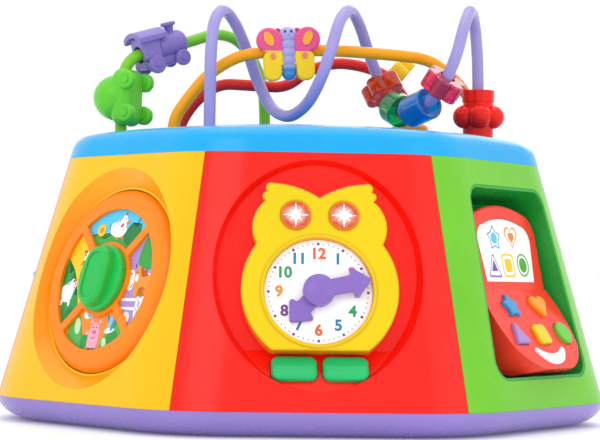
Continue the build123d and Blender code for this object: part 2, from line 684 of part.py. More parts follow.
def pad_half(grow):
    """Sides that widen from the crease, and a round foot, drawn on the keypad's plane."""
    half = [Line((0, 8), (PHONE_HALF, 8)), Line((PHONE_HALF, 8), (PHONE_HALF, -1)),
            ThreePointArc((PHONE_HALF, -1), (PAD_HALF, -24), (42.5, -44)),
            ThreePointArc((42.5, -44), (27, -57.5), (0, -61.5))]
    face = make_face(half + [mirror(edge, about=Plane.YZ) for edge in half])
    return offset(face, amount=grow) if grow else face


def star_outline(outer, inner):
    points = []
    for i in range(10):
        radius = inner if i % 2 else outer
        angle = radians(90 + 36 * i)
        points.append((radius * cos(angle), radius * sin(angle)))
    star = Polygon(*points, align=None)
    return fillet(star.vertices(), 1.0)


def heart_outline(size):
    """Two lobes over a point."""
    lobe = size * 0.29
    half = [Line((0, -size * 0.5), (size * 0.5, size * 0.08)),
            ThreePointArc((size * 0.5, size * 0.08), (size * 0.3, size * 0.42), (0, size * 0.22))]
    face = make_face(half + [mirror(edge, about=Plane.YZ) for edge in half])
    return fillet(face.vertices(), lobe * 0.3)


def triangle_outline(size):
    points = [(0, size * 0.58), (-size * 0.5, -size * 0.42), (size * 0.5, -size * 0.42)]
    return fillet(Polygon(*points, align=None).vertices(), 1.6)


# Key shapes by name: outline grown outwards by a gap, and its place on the keypad's plane.
KEYS = {
    "phone_key_star": (lambda grow: star_outline(9.6 + 1.3 * grow, 5.6 + grow), -19.2, -13.8),
    "phone_key_heart": (lambda grow: heart_outline(18 + 2.6 * grow), 19.2, -13.8),
    "phone_key_triangle": (lambda grow: triangle_outline(16.5 + 3.2 * grow), -29.5, -35.0),
    "phone_key_square": (lambda grow: RectangleRounded(14.5 + 2 * grow, 14.5 + 2 * grow, 3 + grow),
                         0.0, -35.5),
    "phone_key_circle": (lambda grow: Circle(8.0 + grow), 30.0, -35.0),
}


def smile_outline():
    """Wide crescent, open side up, with round ends."""
    corners = [ThreePointArc((-19, -47.5), (0, -58), (19, -47.5)),
               ThreePointArc((19, -47.5), (17.8, -45.4), (15, -46)),
               ThreePointArc((15, -46), (0, -50), (-15, -46)),
               ThreePointArc((-15, -46), (-17.8, -45.4), (-19, -47.5))]
    return make_face(corners)


def screen_outline(grow):
    half = [ThreePointArc((0, 47), (13, 45.9), (25, 43)),
            ThreePointArc((25, 43), (33, 38.5), (35, 31)),
            Line((35, 31), (31.5, 5)),
            Line((31.5, 5), (0, 5))]
    face = make_face(half + [mirror(edge, about=Plane.YZ) for edge in half])
    return offset(face, amount=grow) if grow else face


def phone_shell(inset):
    """Both halves of the telephone, meeting at the crease, less a wall thickness (inset)."""
    middle = (PAD_TILT - SCREEN_TILT) / 2
    crease = Plane(origin=PAD_PLANE.origin, x_dir=(1, 0, 0),
                   z_dir=(0, sin(radians(middle)), cos(radians(middle))))
    shell = None
    for plane, outline, way in ((SCREEN_PLANE, screen_half(-inset), 1),
                                (PAD_PLANE, pad_half(-inset), -1)):
        half = slab(outline, -50, -inset)
        if not inset:
            half = softened(half, top_edges(half), (3.0, 2.2, 1.5))
        side = crease.location * (Pos(0, way * 60, 0) * Box(120, 120, 140))
        half = (plane.location * half) & side
        shell = half if shell is None else shell + half
    back = -NICHE_DEPTH + PHONE_GAP - inset
    foot = PHONE_END + inset
    profile = [(70, 20), (70, back), (foot + 13, back), (foot, -10), (foot, 20)]
    return shell & side_profile(profile, -60, 60)


def phone_body():
    """Moulded telephone shell, bent at the crease, on posts that stand on the niche's back."""
    body = phone_shell(0) - phone_shell(PHONE_WALL)
    for x in (-POST_X, POST_X):
        for y in (-12, 38):
            body += rod(3.6, -NICHE_DEPTH, -12, PHONE_X + x, y)
    body -= SCREEN_PLANE.location * slab(screen_outline(0.2), -1.6, 12)
    for outline, x, y in KEYS.values():
        body -= PAD_PLANE.location * slab(Pos(x, y) * outline(KEY_FIT), -6, 12)
    body -= PAD_PLANE.location * slab(offset(smile_outline(), amount=0.2), -1.6, 12)
    return body


def phone_screen():
    plate = slab(screen_outline(0), -1.6, -0.5)
    return SCREEN_PLANE.location * plate


def phone_key(name):
    """Key with a flange that stops it behind the shell."""
    outline, x, y = KEYS[name]
    key = slab(Pos(x, y) * outline(0), -4.6, KEY_PROUD)
    key = softened(key, top_edges(key), (1.2, 0.9, 0.6))
    key += slab(Pos(x, y) * outline(KEY_FLANGE), -5.0, -PHONE_WALL - 0.5)
    return PAD_PLANE.location * key


def phone_smile():
    lens = slab(smile_outline(), -1.6, 0.9)
    lens = softened(lens, top_edges(lens), (0.8, 0.5))
    return PAD_PLANE.location * lens


# ---- side 2: keyboard
KEYBED = (116.0, 66.0)
PIANO_KEY = (34.0, 58.0)
PIANO_PITCH = 36.0
PIANO_TOP = 5.0
PIANO_DIP = 4.0                    # degrees of key travel
PIANO_PIVOT = (26.0, -6.0)         # (y, z) of the keys' hinge pins
PIN_R = 1.5


def key_bed(grow):
    return rounded_box(KEYBED[0] + 2 * grow, KEYBED[1] + 2 * grow, -13 - grow, 12, 6 + grow)


def panel_keyboard():
    shell = panel(2, key_bed(WALL), key_bed(0))
    shell += place(piano_pins(), 2)
    return shell


def piano_pins():
    """One long pin across the key bed, moulded from wall to wall."""
    pin = Rot(0, 90, 0) * Cylinder(PIN_R, KEYBED[0] + 2)
    return Pos(0, *PIANO_PIVOT) * pin


def piano_key(i):
    key = rounded_box(PIANO_KEY[0], PIANO_KEY[1], -8.5, PIANO_TOP, 5)
    key = softened(key, top_edges(key), (3.0, 2.0))
    bore = Pos(0, *PIANO_PIVOT) * Rot(0, 90, 0) * Cylinder(PIN_R + RUN, PIANO_KEY[0] + 10)
    return Pos((i - 1) * PIANO_PITCH, 0) * (key - bore)


# ---- side 3: gears
GEAR_MODULE = 5.0
GEAR_TEETH = {"gear_large": 14, "gear_small": 8}
GEAR_FLOOR = -6.0
GEAR_THICK = 9.0
GEAR_PIN_R = 4.0
GEAR_SPACING = GEAR_MODULE * (GEAR_TEETH["gear_large"] + GEAR_TEETH["gear_small"]) / 2
GEAR_LARGE_X = -17.0
GEAR_LINE = radians(35)            # direction from the large gear to the small one
GEAR_PLACES = {
    "gear_large": (GEAR_LARGE_X, -10.0),
    "gear_small": (GEAR_LARGE_X + GEAR_SPACING * cos(GEAR_LINE), -10.0 + GEAR_SPACING * sin(GEAR_LINE)),
}
TOOTH_OUT, TOOTH_IN = 0.85, 1.2    # tooth above and below the pitch circle, in modules


def gear_bed(grow):
    outline = RectangleRounded(122 + 2 * grow, 104 + 2 * grow, 26 + grow)
    return slab(outline, GEAR_FLOOR - 1 - grow, 12)


def panel_gears():
    shell = panel(3, gear_bed(WALL), gear_bed(0))
    for x, y in GEAR_PLACES.values():
        post = rod(GEAR_PIN_R, GEAR_FLOOR - 2, GEAR_FLOOR + GEAR_THICK - 1, x, y)
        shell += place(post, 3)
    return shell


def gear_outline(teeth):
    """Toy gear: blunt teeth with plenty of backlash."""
    pitch_r = GEAR_MODULE * teeth / 2
    tip = pitch_r + TOOTH_OUT * GEAR_MODULE
    root = pitch_r - TOOTH_IN * GEAR_MODULE
    outline = Circle(root)
    for i in range(teeth):
        tooth = Polygon((root - 2, -3.9), (tip, -1.7), (tip, 1.7), (root - 2, 3.9), align=None)
        outline += Rot(0, 0, 360 / teeth * i) * tooth
    return outline


def gear(name):
    teeth = GEAR_TEETH[name]
    body = slab(gear_outline(teeth), GEAR_FLOOR, GEAR_FLOOR + GEAR_THICK)
    pitch_r = GEAR_MODULE * teeth / 2
    body += rod(10, GEAR_FLOOR + 1, GEAR_FLOOR + GEAR_THICK + 3)
    body -= rod(GEAR_PIN_R + RUN, GEAR_FLOOR - 1, GEAR_FLOOR + GEAR_THICK)
    if name == "gear_large":
        for i in range(5):
            angle = radians(90 + 72 * i)
            body -= rod(5, GEAR_FLOOR - 1, 20, 19 * cos(angle), 19 * sin(angle))
        knob = rod(6, GEAR_FLOOR + GEAR_THICK - 1, GEAR_FLOOR + GEAR_THICK + 14, pitch_r - 16)
        body += Rot(0, 0, 54) * softened(knob, top_edges(knob), (3, 2))
        turn = degrees(GEAR_LINE)
    else:
        turn = degrees(GEAR_LINE) + 180 + 180 / teeth
    x, y = GEAR_PLACES[name]
    return Pos(x, y) * Rot(0, 0, turn) * body


# ---- side -3: steering wheel
STEER_R = 43.0
STEER_RIM_R = 6.5
STEER_DISH = -6.0
STEER_HUB_R = 15.0
STEER_SHAFT_R = 6.0
STEER_Y = 0.0


def steering_dish(grow):
    mouth = Pos(0, STEER_Y, 3) * Circle(58 + grow)
    foot = Pos(0, STEER_Y, STEER_DISH - grow) * Circle(53 + grow)
    return loft([mouth, foot], ruled=True)


def panel_steering():
    cuts = steering_dish(0) + rod(STEER_SHAFT_R + 0.3, -40, 0, y=STEER_Y)
    return panel(-3, steering_dish(WALL), cuts)


def steering_wheel():
    rim = Torus(STEER_R, STEER_RIM_R)
    rim = Pos(0, 0, 6) * rim
    wheel = rim
    for i in range(3):
        spoke = rounded_box(STEER_R - 6, 12, 1.5, 9, 3, (STEER_R - 4) / 2 + 4)
        wheel += Rot(0, 0, -90 + 120 * i) * spoke
    hub = rod(STEER_HUB_R, STEER_DISH + 0.6, 11)
    wheel += softened(hub, top_edges(hub), (3, 2))
    wheel += rod(STEER_SHAFT_R, STEER_DISH - WALL - 4, STEER_DISH + 1)
    wheel += rod(8, STEER_DISH - WALL - 4, STEER_DISH - WALL - 0.5)
    return Pos(0, STEER_Y) * wheel


# ---- side -2: roller
ROLLER_R = 20.0
ROLLER_LENGTH = 84.0
ROLLER_Z = -13.0
ROLLER_PIN_R = 4.0


def roller_bed(grow):
    return rounded_box(ROLLER_LENGTH + 4 + 2 * grow, 2 * ROLLER_R + 10 + 2 * grow,
                       ROLLER_Z - ROLLER_R - 3 - grow, 12, 8 + grow)


def roller_bore():
    return Pos(0, 0, ROLLER_Z) * Rot(0, 90, 0) * Cylinder(ROLLER_PIN_R + RUN, ROLLER_LENGTH + 8)


def panel_roller():
    return panel(-2, roller_bed(WALL), roller_bed(0) + roller_bore())


def roller():
    """Ribbed drum on two short stub pins."""
    drum = Cylinder(ROLLER_R - 2, ROLLER_LENGTH)
    drum = softened(drum, drum.edges(), (3, 2))
    ribs = 10
    for i in range(ribs):
        rib = Cylinder(3.2, ROLLER_LENGTH - 8)
        angle = 2 * pi * i / ribs
        drum += Pos((ROLLER_R - 3.4) * cos(angle), (ROLLER_R - 3.4) * sin(angle), 0) * rib
    drum += Cylinder(ROLLER_PIN_R, ROLLER_LENGTH + 7)
    return Pos(0, 0, ROLLER_Z) * Rot(0, 90, 0) * drum


# ---------------------------------------------------------------- beads
# Each bead: its tube, how far along the tube it is, and the bore's clearance over the tube.
BEAD_PLACES = {
    "bead_car": ("tube_green", 0.1395, 3.0),
    "bead_train": ("tube_green", 0.357, 2.0),
    "bead_butterfly": ("tube_orange", 0.364, 0.5),
    "bead_orange_clear": ("tube_lavender", 0.608, 1.6),
    "bead_green_clear": ("tube_lavender", 0.643, 1.6),
    "bead_blue_clear": ("tube_lavender", 0.684, 2.6),
    "bead_magenta_clear": ("tube_lavender", 0.723, 1.6),
    "bead_red_flower": ("tube_lavender", 0.955, 0.8),
    "bead_yellow_flower": ("tube_red", 0.764, 1.8),
    "bead_orange_low": ("tube_red", 0.925, 1.0),
}


def bead_plane(name):
    """Plane across the tube at the bead: z along the tube, y as near to upright as can be."""
    tube_name, share, _ = BEAD_PLACES[name]
    path = PATHS[tube_name]
    along = path % share
    up = Vector(0, 0, 1)
    across = up.cross(along)
    if across.length < 0.2:
        across = Vector(1, 0, 0) - along * along.X
    return Plane(path @ share, x_dir=across.normalized(), z_dir=along)


def bored(name, shape):
    """Bead with its bore, flared at both ends, placed on its tube."""
    clearance = BEAD_PLACES[name][2]
    bore = Cylinder(TUBE_R + clearance, 80)
    return bead_plane(name).location * (shape - bore)


def bead_car():
    """Round-backed car standing on its tail, its wheels to the right."""
    chassis = Pos(4.5, 0, 0) * Box(15, 25, 39)
    chassis = softened(chassis, chassis.edges(), (7, 6, 5, 4))
    body = chassis + Pos(-4.5, 0, 0) * Sphere(15.5)
    for z in (-11.5, 11.0):
        for y in (-11.5, 11.5):
            wheel = Cylinder(6.4, 6.0)
            wheel = softened(wheel, wheel.edges(), (2, 1.5))
            hub = Cylinder(3.0, 7.4)
            body += Pos(11.2, y, z) * Rot(90, 0, 0) * (wheel + hub)
    return bored("bead_car", Rot(0, 0, -32) * body)


TRAIN_SIZE = 0.86                  # of the size that it is drawn at


def bead_train():
    """Small locomotive: cab with a broad arched roof, boiler, funnel and four wheels."""
    chassis = Pos(0, -9, 0) * Box(15, 8, 42)
    chassis = softened(chassis, chassis.edges(), (2.5, 2))
    boiler = Cylinder(10.5, 27)
    boiler = Pos(0, 2, 9) * softened(boiler, top_edges(boiler), (5, 4, 3))
    cab = Pos(0, 4, -12.5) * Box(20, 20, 18)
    cab = softened(cab, cab.edges(), (2.5, 2))
    roof = (Cylinder(18.5, 27) - Cylinder(14.5, 40)) & Pos(0, 16, 0) * Box(26, 14, 40)
    roof = Pos(0, 0, -11.5) * softened(roof, roof.edges(), (1.4, 1.0))
    funnel = Pos(0, 15.5, 12) * Rot(-90, 0, 0) * Cone(3.0, 4.6, 8)
    brim = Pos(0, 18.6, 12) * Rot(-90, 0, 0) * Cylinder(6.2, 3.4)
    engine = chassis + boiler + cab + roof + funnel + softened(brim, brim.edges(), (1.5, 1))
    for z, radius in ((-12.5, 7.5), (12.5, 6.5)):
        for x in (-10.5, 10.5):
            wheel = Cylinder(radius, 5)
            wheel = softened(wheel, wheel.edges(), (1.4,)) + Cylinder(2.6, 6.6)
            engine += Pos(x, -10, z) * Rot(0, 90, 0) * wheel
    return bored("bead_train", scale(engine, by=TRAIN_SIZE))


# The butterfly is drawn facing the viewer, x to the right and y up, with its tube along x.
FACING = Rot(0, -90, 0)
SEGMENTS = ((9.3, 6.5), (3.2, 6.4), (-2.2, 6.4), (-7.4, 6.2), (-12.4, 5.6), (-16.0, 5.0))
BELLY = 5.0                        # the body's middle, in front of the tube


def segments(grow):
    """Plump body of round segments in one turned piece, over a short barrel on the tube."""
    outline = Sketch()
    for y, radius in SEGMENTS:
        outline += Pos(0, y) * Circle(radius + grow)
    outline &= Pos(10, 0) * Rectangle(20, 60)
    return Rot(0, 90, 0) * Cylinder(7.4 + grow, 12 + 2 * grow) + Pos(0, 0, BELLY) * revolve(outline, Axis.Y)


def butterfly_body():
    """Body with two round ears, which lie behind the wings."""
    body = segments(0)
    ear = Cylinder(2.3, 4.4)
    ear = softened(ear, ear.edges(), (1.2, 0.8))
    for x in (-6.6, 6.6):
        body += Pos(x, 12.9, 2.6) * ear
    return bored("bead_butterfly", FACING * body)


def butterfly_wings():
    """Upper and lower wings in front of the tube, left and right of the body."""
    outline = RectangleRounded(20, 22, 4)
    for side in (-1, 1):
        upper = Pos(side * 13.2, 6.6) * Circle(8.5)
        outline += upper + Pos(side * 11.1, -10.9) * RectangleRounded(12.6, 20.6, 5.6)
    wings = slab(outline, TUBE_R + 1.2, TUBE_R + 5.6)
    wings = softened(wings, top_edges(wings), (1.6, 1.2, 0.8))
    for side in (-1, 1):
        spot = Pos(side * 13.2, 7.4) * Ellipse(3.2, 5.4, rotation=side * -25)
        dot = Pos(side * 10.8, -4.4) * Ellipse(1.9, 2.4)
        wings += slab(spot, TUBE_R + 4.6, TUBE_R + 6.0) + slab(dot, TUBE_R + 4.6, TUBE_R + 6.2)
    wings -= segments(0.05)
    return bead_plane("bead_butterfly").location * FACING * wings


def clear_flower(name, count, reach, petal_r, thick):
    flower = slab(petals(count, reach, petal_r, reach), -thick / 2, thick / 2)
    flower = softened(flower, top_edges(flower) + bottom_edges(flower), (2.0, 1.4, 1.0))
    return bored(name, flower)


def clear_barrel(name, radius, length):
    barrel = Cylinder(radius, length)
    return bored(name, softened(barrel, barrel.edges(), (1.6,)))


def bead_red_flower():
    """Barrel with a collar above and below, and five plump petals about its middle."""
    body = Pos(0, 0, 3) * Cylinder(10.5, 30)
    for i in range(5):
        body += Rot(0, 0, 20 + 72 * i) * (Pos(10.2, 0, 4) * Sphere(8.2))
    body += Pos(0, 0, -10.5) * Cylinder(11.2, 8)
    return bored("bead_red_flower", body)


def bead_orange_low():
    dome = Cylinder(13.5, 9)
    return bored("bead_orange_low", softened(dome, dome.edges(), (3.5, 2.5)))


# ---------------------------------------------------------------- all pieces
def build():
    parts = {
        "base_tray": base_tray(),
        "battery_door": battery_door(),
        "batteries": batteries(),
        "battery_contacts": battery_contacts(),
        "screws": screws(),
        "power_switch": power_switch(),
        "main_board": main_board(),
        "speaker": speaker(),
        "top_cover": top_cover(),
        "panel_clock": panel_clock(),
        "panel_picture": panel_picture(),
        "panel_phone": panel_phone(),
        "panel_keyboard": panel_keyboard(),
        "panel_gears": panel_gears(),
        "panel_steering": panel_steering(),
        "panel_roller": panel_roller(),
        "owl_body": place(owl_body(), 0),
        "clock_dial": place(clock_dial(), 0),
        "clock_axle": place(clock_axle(), 0),
        "hour_hand": place(hour_hand(), 0),
        "minute_hand": place(minute_hand(), 0),
        "eye_lenses": place(eye_lenses(), 0),
        "owl_lights": place(owl_lights(), 0),
        "owl_button_left": place(owl_button(-BUTTON_X), 0),
        "owl_button_right": place(owl_button(BUTTON_X), 0),
        "button_board": place(button_board(), 0),
        "wheel_frame": place(wheel_frame(), -1),
        "wheel_pictures": place(wheel_pictures(), -1),
        "wheel_knob": place(wheel_knob(), -1),
        "niche_liner": place(niche_liner(), 1),
        "phone_body": place(phone_body(), 1),
        "phone_screen": place(phone_screen(), 1),
        "phone_smile": place(phone_smile(), 1),
        "steering_wheel": place(steering_wheel(), -3),
        "roller": place(roller(), -2),
        "bead_car": bead_car(),
        "bead_train": bead_train(),
        "butterfly_body": butterfly_body(),
        "butterfly_wings": butterfly_wings(),
        "bead_orange_clear": clear_flower("bead_orange_clear", 5, 8.5, 6.5, 13),
        "bead_green_clear": clear_barrel("bead_green_clear", 11.5, 14),
        "bead_blue_clear": clear_barrel("bead_blue_clear", 11.0, 22),
        "bead_magenta_clear": clear_flower("bead_magenta_clear", 6, 8.5, 6.0, 13),
        "bead_red_flower": bead_red_flower(),
        "bead_yellow_flower": clear_flower("bead_yellow_flower", 5, 11.5, 8.5, 12),
        "bead_orange_low": bead_orange_low(),
    }
    for name in KEYS:
        parts[name] = place(phone_key(name), 1)
    for i, name in enumerate(("piano_key_left", "piano_key_middle", "piano_key_right")):
        parts[name] = place(piano_key(i), 2)
    for name in GEAR_TEETH:
        parts[name] = place(gear(name), 3)
    for name in ROUTES:
        parts[name] = tube(name)
    return parts


if __name__ == "__main__":
    for node, shape in build().items():
        export_step(shape, f"parts/{node}.step")
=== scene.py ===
import json
import math

import bmesh
import bpy
from mathutils import Matrix, Vector


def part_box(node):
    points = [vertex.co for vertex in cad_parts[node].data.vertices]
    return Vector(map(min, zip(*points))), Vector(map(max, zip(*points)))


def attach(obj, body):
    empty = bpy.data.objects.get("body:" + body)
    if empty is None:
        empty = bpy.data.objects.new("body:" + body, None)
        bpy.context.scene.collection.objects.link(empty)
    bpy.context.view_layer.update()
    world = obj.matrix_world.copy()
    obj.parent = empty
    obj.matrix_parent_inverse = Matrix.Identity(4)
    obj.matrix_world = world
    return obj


# Looks of a toddler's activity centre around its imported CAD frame. Drawing sizes are in
# millimetres on each side's own axes (x right, y up the slope, z outwards), and become metres
# when a mesh is made.

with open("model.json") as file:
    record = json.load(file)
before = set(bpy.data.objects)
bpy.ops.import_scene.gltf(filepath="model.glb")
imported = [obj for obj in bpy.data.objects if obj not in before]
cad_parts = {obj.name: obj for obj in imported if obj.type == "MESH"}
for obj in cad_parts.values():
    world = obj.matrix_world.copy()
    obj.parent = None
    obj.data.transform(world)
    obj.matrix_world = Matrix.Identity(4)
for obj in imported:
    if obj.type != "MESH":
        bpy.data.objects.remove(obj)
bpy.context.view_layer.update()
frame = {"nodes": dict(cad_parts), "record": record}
NODES = frame["nodes"]
MM = 0.001

# ---------------------------------------------------------------- frames of the sides
TURN = 360 / 7
BOTTOM_INRADIUS, TOP_INRADIUS = 195.0, 152.3
BASE_HEIGHT, PANEL_TOP = 16.0, 174.0
SLOPE = math.atan2(BOTTOM_INRADIUS - TOP_INRADIUS, PANEL_TOP - BASE_HEIGHT)


def basis(origin, x_dir, z_dir):
    """Matrix from a plane's own axes (mm) to the space that it is drawn in."""
    z = Vector(z_dir).normalized()
    x = Vector(x_dir).normalized()
    y = z.cross(x)
    turn = Matrix((x, y, z)).transposed().to_4x4()
    return Matrix.Translation(Vector(origin)) @ turn


FACE = basis((0, -(BOTTOM_INRADIUS + TOP_INRADIUS) / 2, (BASE_HEIGHT + PANEL_TOP) / 2), (1, 0, 0),
             (0, -math.cos(SLOPE), math.sin(SLOPE)))


def side(k):
    return Matrix.Rotation(math.radians(k * TURN), 4, "Z") @ FACE


DIAL_CENTRE = (-0.9, -7.1)
DIAL_FACE = -1.6                     # z of the clock dial's printed face
OWL_FRONT = 1.5                      # z of the eye lenses' rims
# The butterfly's own axes, from the middle of its stretch of tube: x along the tube.
FLY = basis((-13.0, -25.0, 251.1), (0.99863, 0, 0.0523), (0, -1, 0))
EARS = ((-6.6, 12.9, 2.6), (6.6, 12.9, 2.6))
EYES = ((-14.8, 40.6), (14.8, 40.6))
PICTURE_TOP = -6.4                   # z of the picture card behind the windows
PHONE_X = 8.0
CREASE, SCREEN_HEAD = (-1.0, -12.0), (58.0, -9.0)    # telephone's fold and its screen's top: y, z
SCREEN_TILT = math.atan2(SCREEN_HEAD[1] - CREASE[1], SCREEN_HEAD[0] - CREASE[0])
SCREEN = basis((PHONE_X, *CREASE), (1, 0, 0), (0, -math.sin(SCREEN_TILT), math.cos(SCREEN_TILT)))


# ---------------------------------------------------------------- materials
def linear(code):
    """A web colour as linear light."""
    parts = [int(code[i:i + 2], 16) / 255 for i in (1, 3, 5)]
    return tuple(c / 12.92 if c <= 0.04045 else ((c + 0.055) / 1.055) ** 2.4 for c in parts) + (1.0,)


class Graph:
    """Short way to write a node material."""

    def __init__(self, name):
        self.material = bpy.data.materials.new(name)
        self.material.use_nodes = True
        self.tree = self.material.node_tree
        self.shader = self.tree.nodes["Principled BSDF"]
        coords = self.tree.nodes.new("ShaderNodeTexCoord")
        self.object = coords.outputs["Object"]
        self.normal = coords.outputs["Normal"]

    def node(self, kind, inputs=(), **settings):
        made = self.tree.nodes.new(kind)
        for key, value in settings.items():
            setattr(made, key, value)
        for key, value in dict(inputs).items():
            if isinstance(value, bpy.types.NodeSocket):
                self.tree.links.new(value, made.inputs[key])
            else:
                made.inputs[key].default_value = value
        return made

    def noise(self, scale, detail=3.0, rough=0.5, vector=None):
        inputs = {"Vector": vector or self.object, "Scale": scale, "Detail": detail, "Roughness": rough}
        return self.node("ShaderNodeTexNoise", inputs).outputs["Fac"]

    def span(self, value, low, high, to_low, to_high):
        made = self.node("ShaderNodeMapRange", {"Value": value, "From Min": low, "From Max": high,
                                                "To Min": to_low, "To Max": to_high})
        return made.outputs["Result"]

    def mix(self, share, one, two, blend="MIX"):
        made = self.tree.nodes.new("ShaderNodeMix")
        made.data_type = "RGBA"
        made.blend_type = blend
        for socket, value in ((made.inputs[0], share), (made.inputs[6], one), (made.inputs[7], two)):
            if isinstance(value, bpy.types.NodeSocket):
                self.tree.links.new(value, socket)
            else:
                socket.default_value = value
        return made.outputs[2]

    def math(self, operation, one, two=0.0):
        return self.node("ShaderNodeMath", {0: one, 1: two}, operation=operation).outputs[0]

    def dot(self, vector, direction):
        made = self.node("ShaderNodeVectorMath", {0: vector, 1: direction}, operation="DOT_PRODUCT")
        return made.outputs["Value"]

    def distance(self, point):
        made = self.node("ShaderNodeVectorMath", {0: self.object, 1: point}, operation="DISTANCE")
        return made.outputs["Value"]

    def set(self, socket, value):
        target = self.shader.inputs[socket]
        if isinstance(value, bpy.types.NodeSocket):
            self.tree.links.new(value, target)
        else:
            target.default_value = value


def shade(colour, gain):
    return tuple(min(1.0, c * gain) for c in colour[:3]) + (1.0,)


def finish_surface(g, colour, rough=0.22, vary=0.05, grain=0.25, edge=0.0006, scuff=0.12):
    """Mottled colour, uneven gloss, fine moulding texture, faint scuffs and rounded edges."""
    cloud = g.noise(14.0, 4.0, 0.55)
    if isinstance(colour, bpy.types.NodeSocket):
        dark = g.mix(1.0, colour, (1 - vary,) * 3 + (1.0,), "MULTIPLY")
        tone = g.mix(g.span(cloud, 0.3, 0.7, 0.0, 1.0), dark, colour)
    else:
        tone = g.mix(g.span(cloud, 0.3, 0.7, 0.0, 1.0), shade(colour, 1 - vary), shade(colour, 1 + vary))
    g.set("Base Color", tone)
    # scuffs: thin stretched streaks that are a little rougher than the rest
    stretched = g.node("ShaderNodeMapping", {"Vector": g.object, "Rotation": (0.4, 0.7, 0.2),
                                             "Scale": (260.0, 26.0, 190.0)}).outputs["Vector"]
    streak = g.span(g.noise(1.0, 5.0, 0.7, stretched), 0.60, 0.72, 0.0, scuff)
    uneven = g.span(g.noise(55.0, 5.0, 0.6), 0.3, 0.7, rough - 0.05, rough + 0.07)
    g.set("Roughness", g.math("ADD", uneven, streak))
    rounded = g.node("ShaderNodeBevel", {"Radius": edge}, samples=4).outputs["Normal"] if edge else None
    inputs = {"Strength": grain, "Distance": 0.00012, "Height": g.noise(850.0, 3.0, 0.5)}
    if rounded:
        inputs["Normal"] = rounded
    fine = g.node("ShaderNodeBump", inputs)
    swell = g.node("ShaderNodeBump", {"Strength": 0.25, "Distance": 0.0006,
                                      "Height": g.noise(38.0, 2.0, 0.4), "Normal": fine.outputs["Normal"]})
    g.set("Normal", swell.outputs["Normal"])
    return g.material


def plastic(name, code, rough=0.24, coat=0.12, **more):
    g = Graph(name)
    g.set("Coat Weight", coat)
    g.set("Coat Roughness", 0.08)
    g.set("Specular IOR Level", 0.22)
    g.set("Subsurface Weight", 0.04)
    g.set("Subsurface Radius", (0.004, 0.004, 0.004))
    return finish_surface(g, linear(code), rough, **more)


def side_toned(name, front, wall, normals, rough=0.24, low=0.55, high=0.97, edge=0.0006):
    """Plastic whose walls, turned away from its front, are a deeper colour by bounced light."""
    g = Graph(name)
    facing = None
    for direction in normals:
        one = g.dot(g.normal, direction)
        facing = one if facing is None else g.math("MAXIMUM", facing, one)
    share = g.span(facing, low, high, 0.0, 1.0)
    g.set("Coat Weight", 0.12)
    g.set("Coat Roughness", 0.08)
    g.set("Specular IOR Level", 0.22)
    return finish_surface(g, g.mix(share, linear(wall), linear(front)), rough, edge=edge)


def clear(name, code, rough=0.06):
    g = Graph(name)
    g.set("Transmission Weight", 0.72)
    g.set("IOR", 1.47)
    g.set("Coat Weight", 0.5)
    return finish_surface(g, linear(code), rough, vary=0.10, grain=0.08, edge=0.0008, scuff=0.06)


def printed(name, code, rough=0.38, vary=0.06):
    g = Graph(name)
    g.set("Specular IOR Level", 0.45)
    return finish_surface(g, linear(code), rough, vary=vary, grain=0.12, edge=0.0, scuff=0.05)


def glowing(name, code, strength):
    g = Graph(name)
    g.set("Emission Color", linear(code))
    g.set("Emission Strength", strength)
    return finish_surface(g, linear(code), 0.4, edge=0.0)


def metal(name, code, rough=0.3):
    g = Graph(name)
    g.set("Metallic", 1.0)
    return finish_surface(g, linear(code), rough, vary=0.12, grain=0.5, edge=0.0003, scuff=0.3)


FRONT = side(0).to_3x3() @ Vector((0, 0, 1))
LEFT_FRONT = side(-1).to_3x3() @ Vector((0, 0, 1))
MATERIALS = {
    "purple_plastic": plastic("purple_plastic", "#9280CC"),
    "blue_plastic": plastic("blue_plastic", "#12A6E6"),
    "red_plastic": plastic("red_plastic", "#F4180A"),
    "yellow_plastic": plastic("yellow_plastic", "#EFC000"),
    "light_green_plastic": plastic("light_green_plastic", "#6EC228"),
    "dark_green_plastic": plastic("dark_green_plastic", "#1CA83E"),
    "orange_plastic": plastic("orange_plastic", "#FA8608"),
    "dial_white": printed("dial_white", "#FFFFFF", vary=0.02),
    "picture_card": printed("picture_card", "#58C4EE"),
    "button_green": plastic("button_green", "#14BC6A", coat=0.3),
    "hand_purple": plastic("hand_purple", "#8668BC", rough=0.3, coat=0.2),
    "phone_red": plastic("phone_red", "#F43C2A"),
    "white_plastic": plastic("white_plastic", "#F6F6F6"),
    "key_blue": plastic("key_blue", "#3494D2"),
    "key_orange": plastic("key_orange", "#FF9C1E"),
    "key_lavender": plastic("key_lavender", "#A586CC"),
    "key_yellow": plastic("key_yellow", "#E4CC08"),
    "key_green": plastic("key_green", "#66C83C"),
    "tube_lavender": plastic("tube_lavender", "#A096D2", rough=0.2),
    "tube_orange": plastic("tube_orange", "#FFA406", rough=0.2),
    "tube_red": plastic("tube_red", "#DC241C", rough=0.2),
    "tube_green": plastic("tube_green", "#78C82C", rough=0.2),
    "clear_orange": clear("clear_orange", "#FF4A1C"),
    "clear_green": clear("clear_green", "#00B454"),
    "clear_blue": clear("clear_blue", "#0C9CF0"),
    "clear_magenta": clear("clear_magenta", "#F01E5A"),
    "circuit_board": printed("circuit_board", "#1C6A3C"),
    "black_plastic": plastic("black_plastic", "#26262A", rough=0.4, coat=0.0),
    "screw_steel": metal("screw_steel", "#B0B0B4"),
    "spring_steel": metal("spring_steel", "#C8C8CC", 0.2),
    "cell_jacket": plastic("cell_jacket", "#B8BCC4", rough=0.3, coat=0.1),
    "speaker_paper": printed("speaker_paper", "#26262A", 0.7),
}


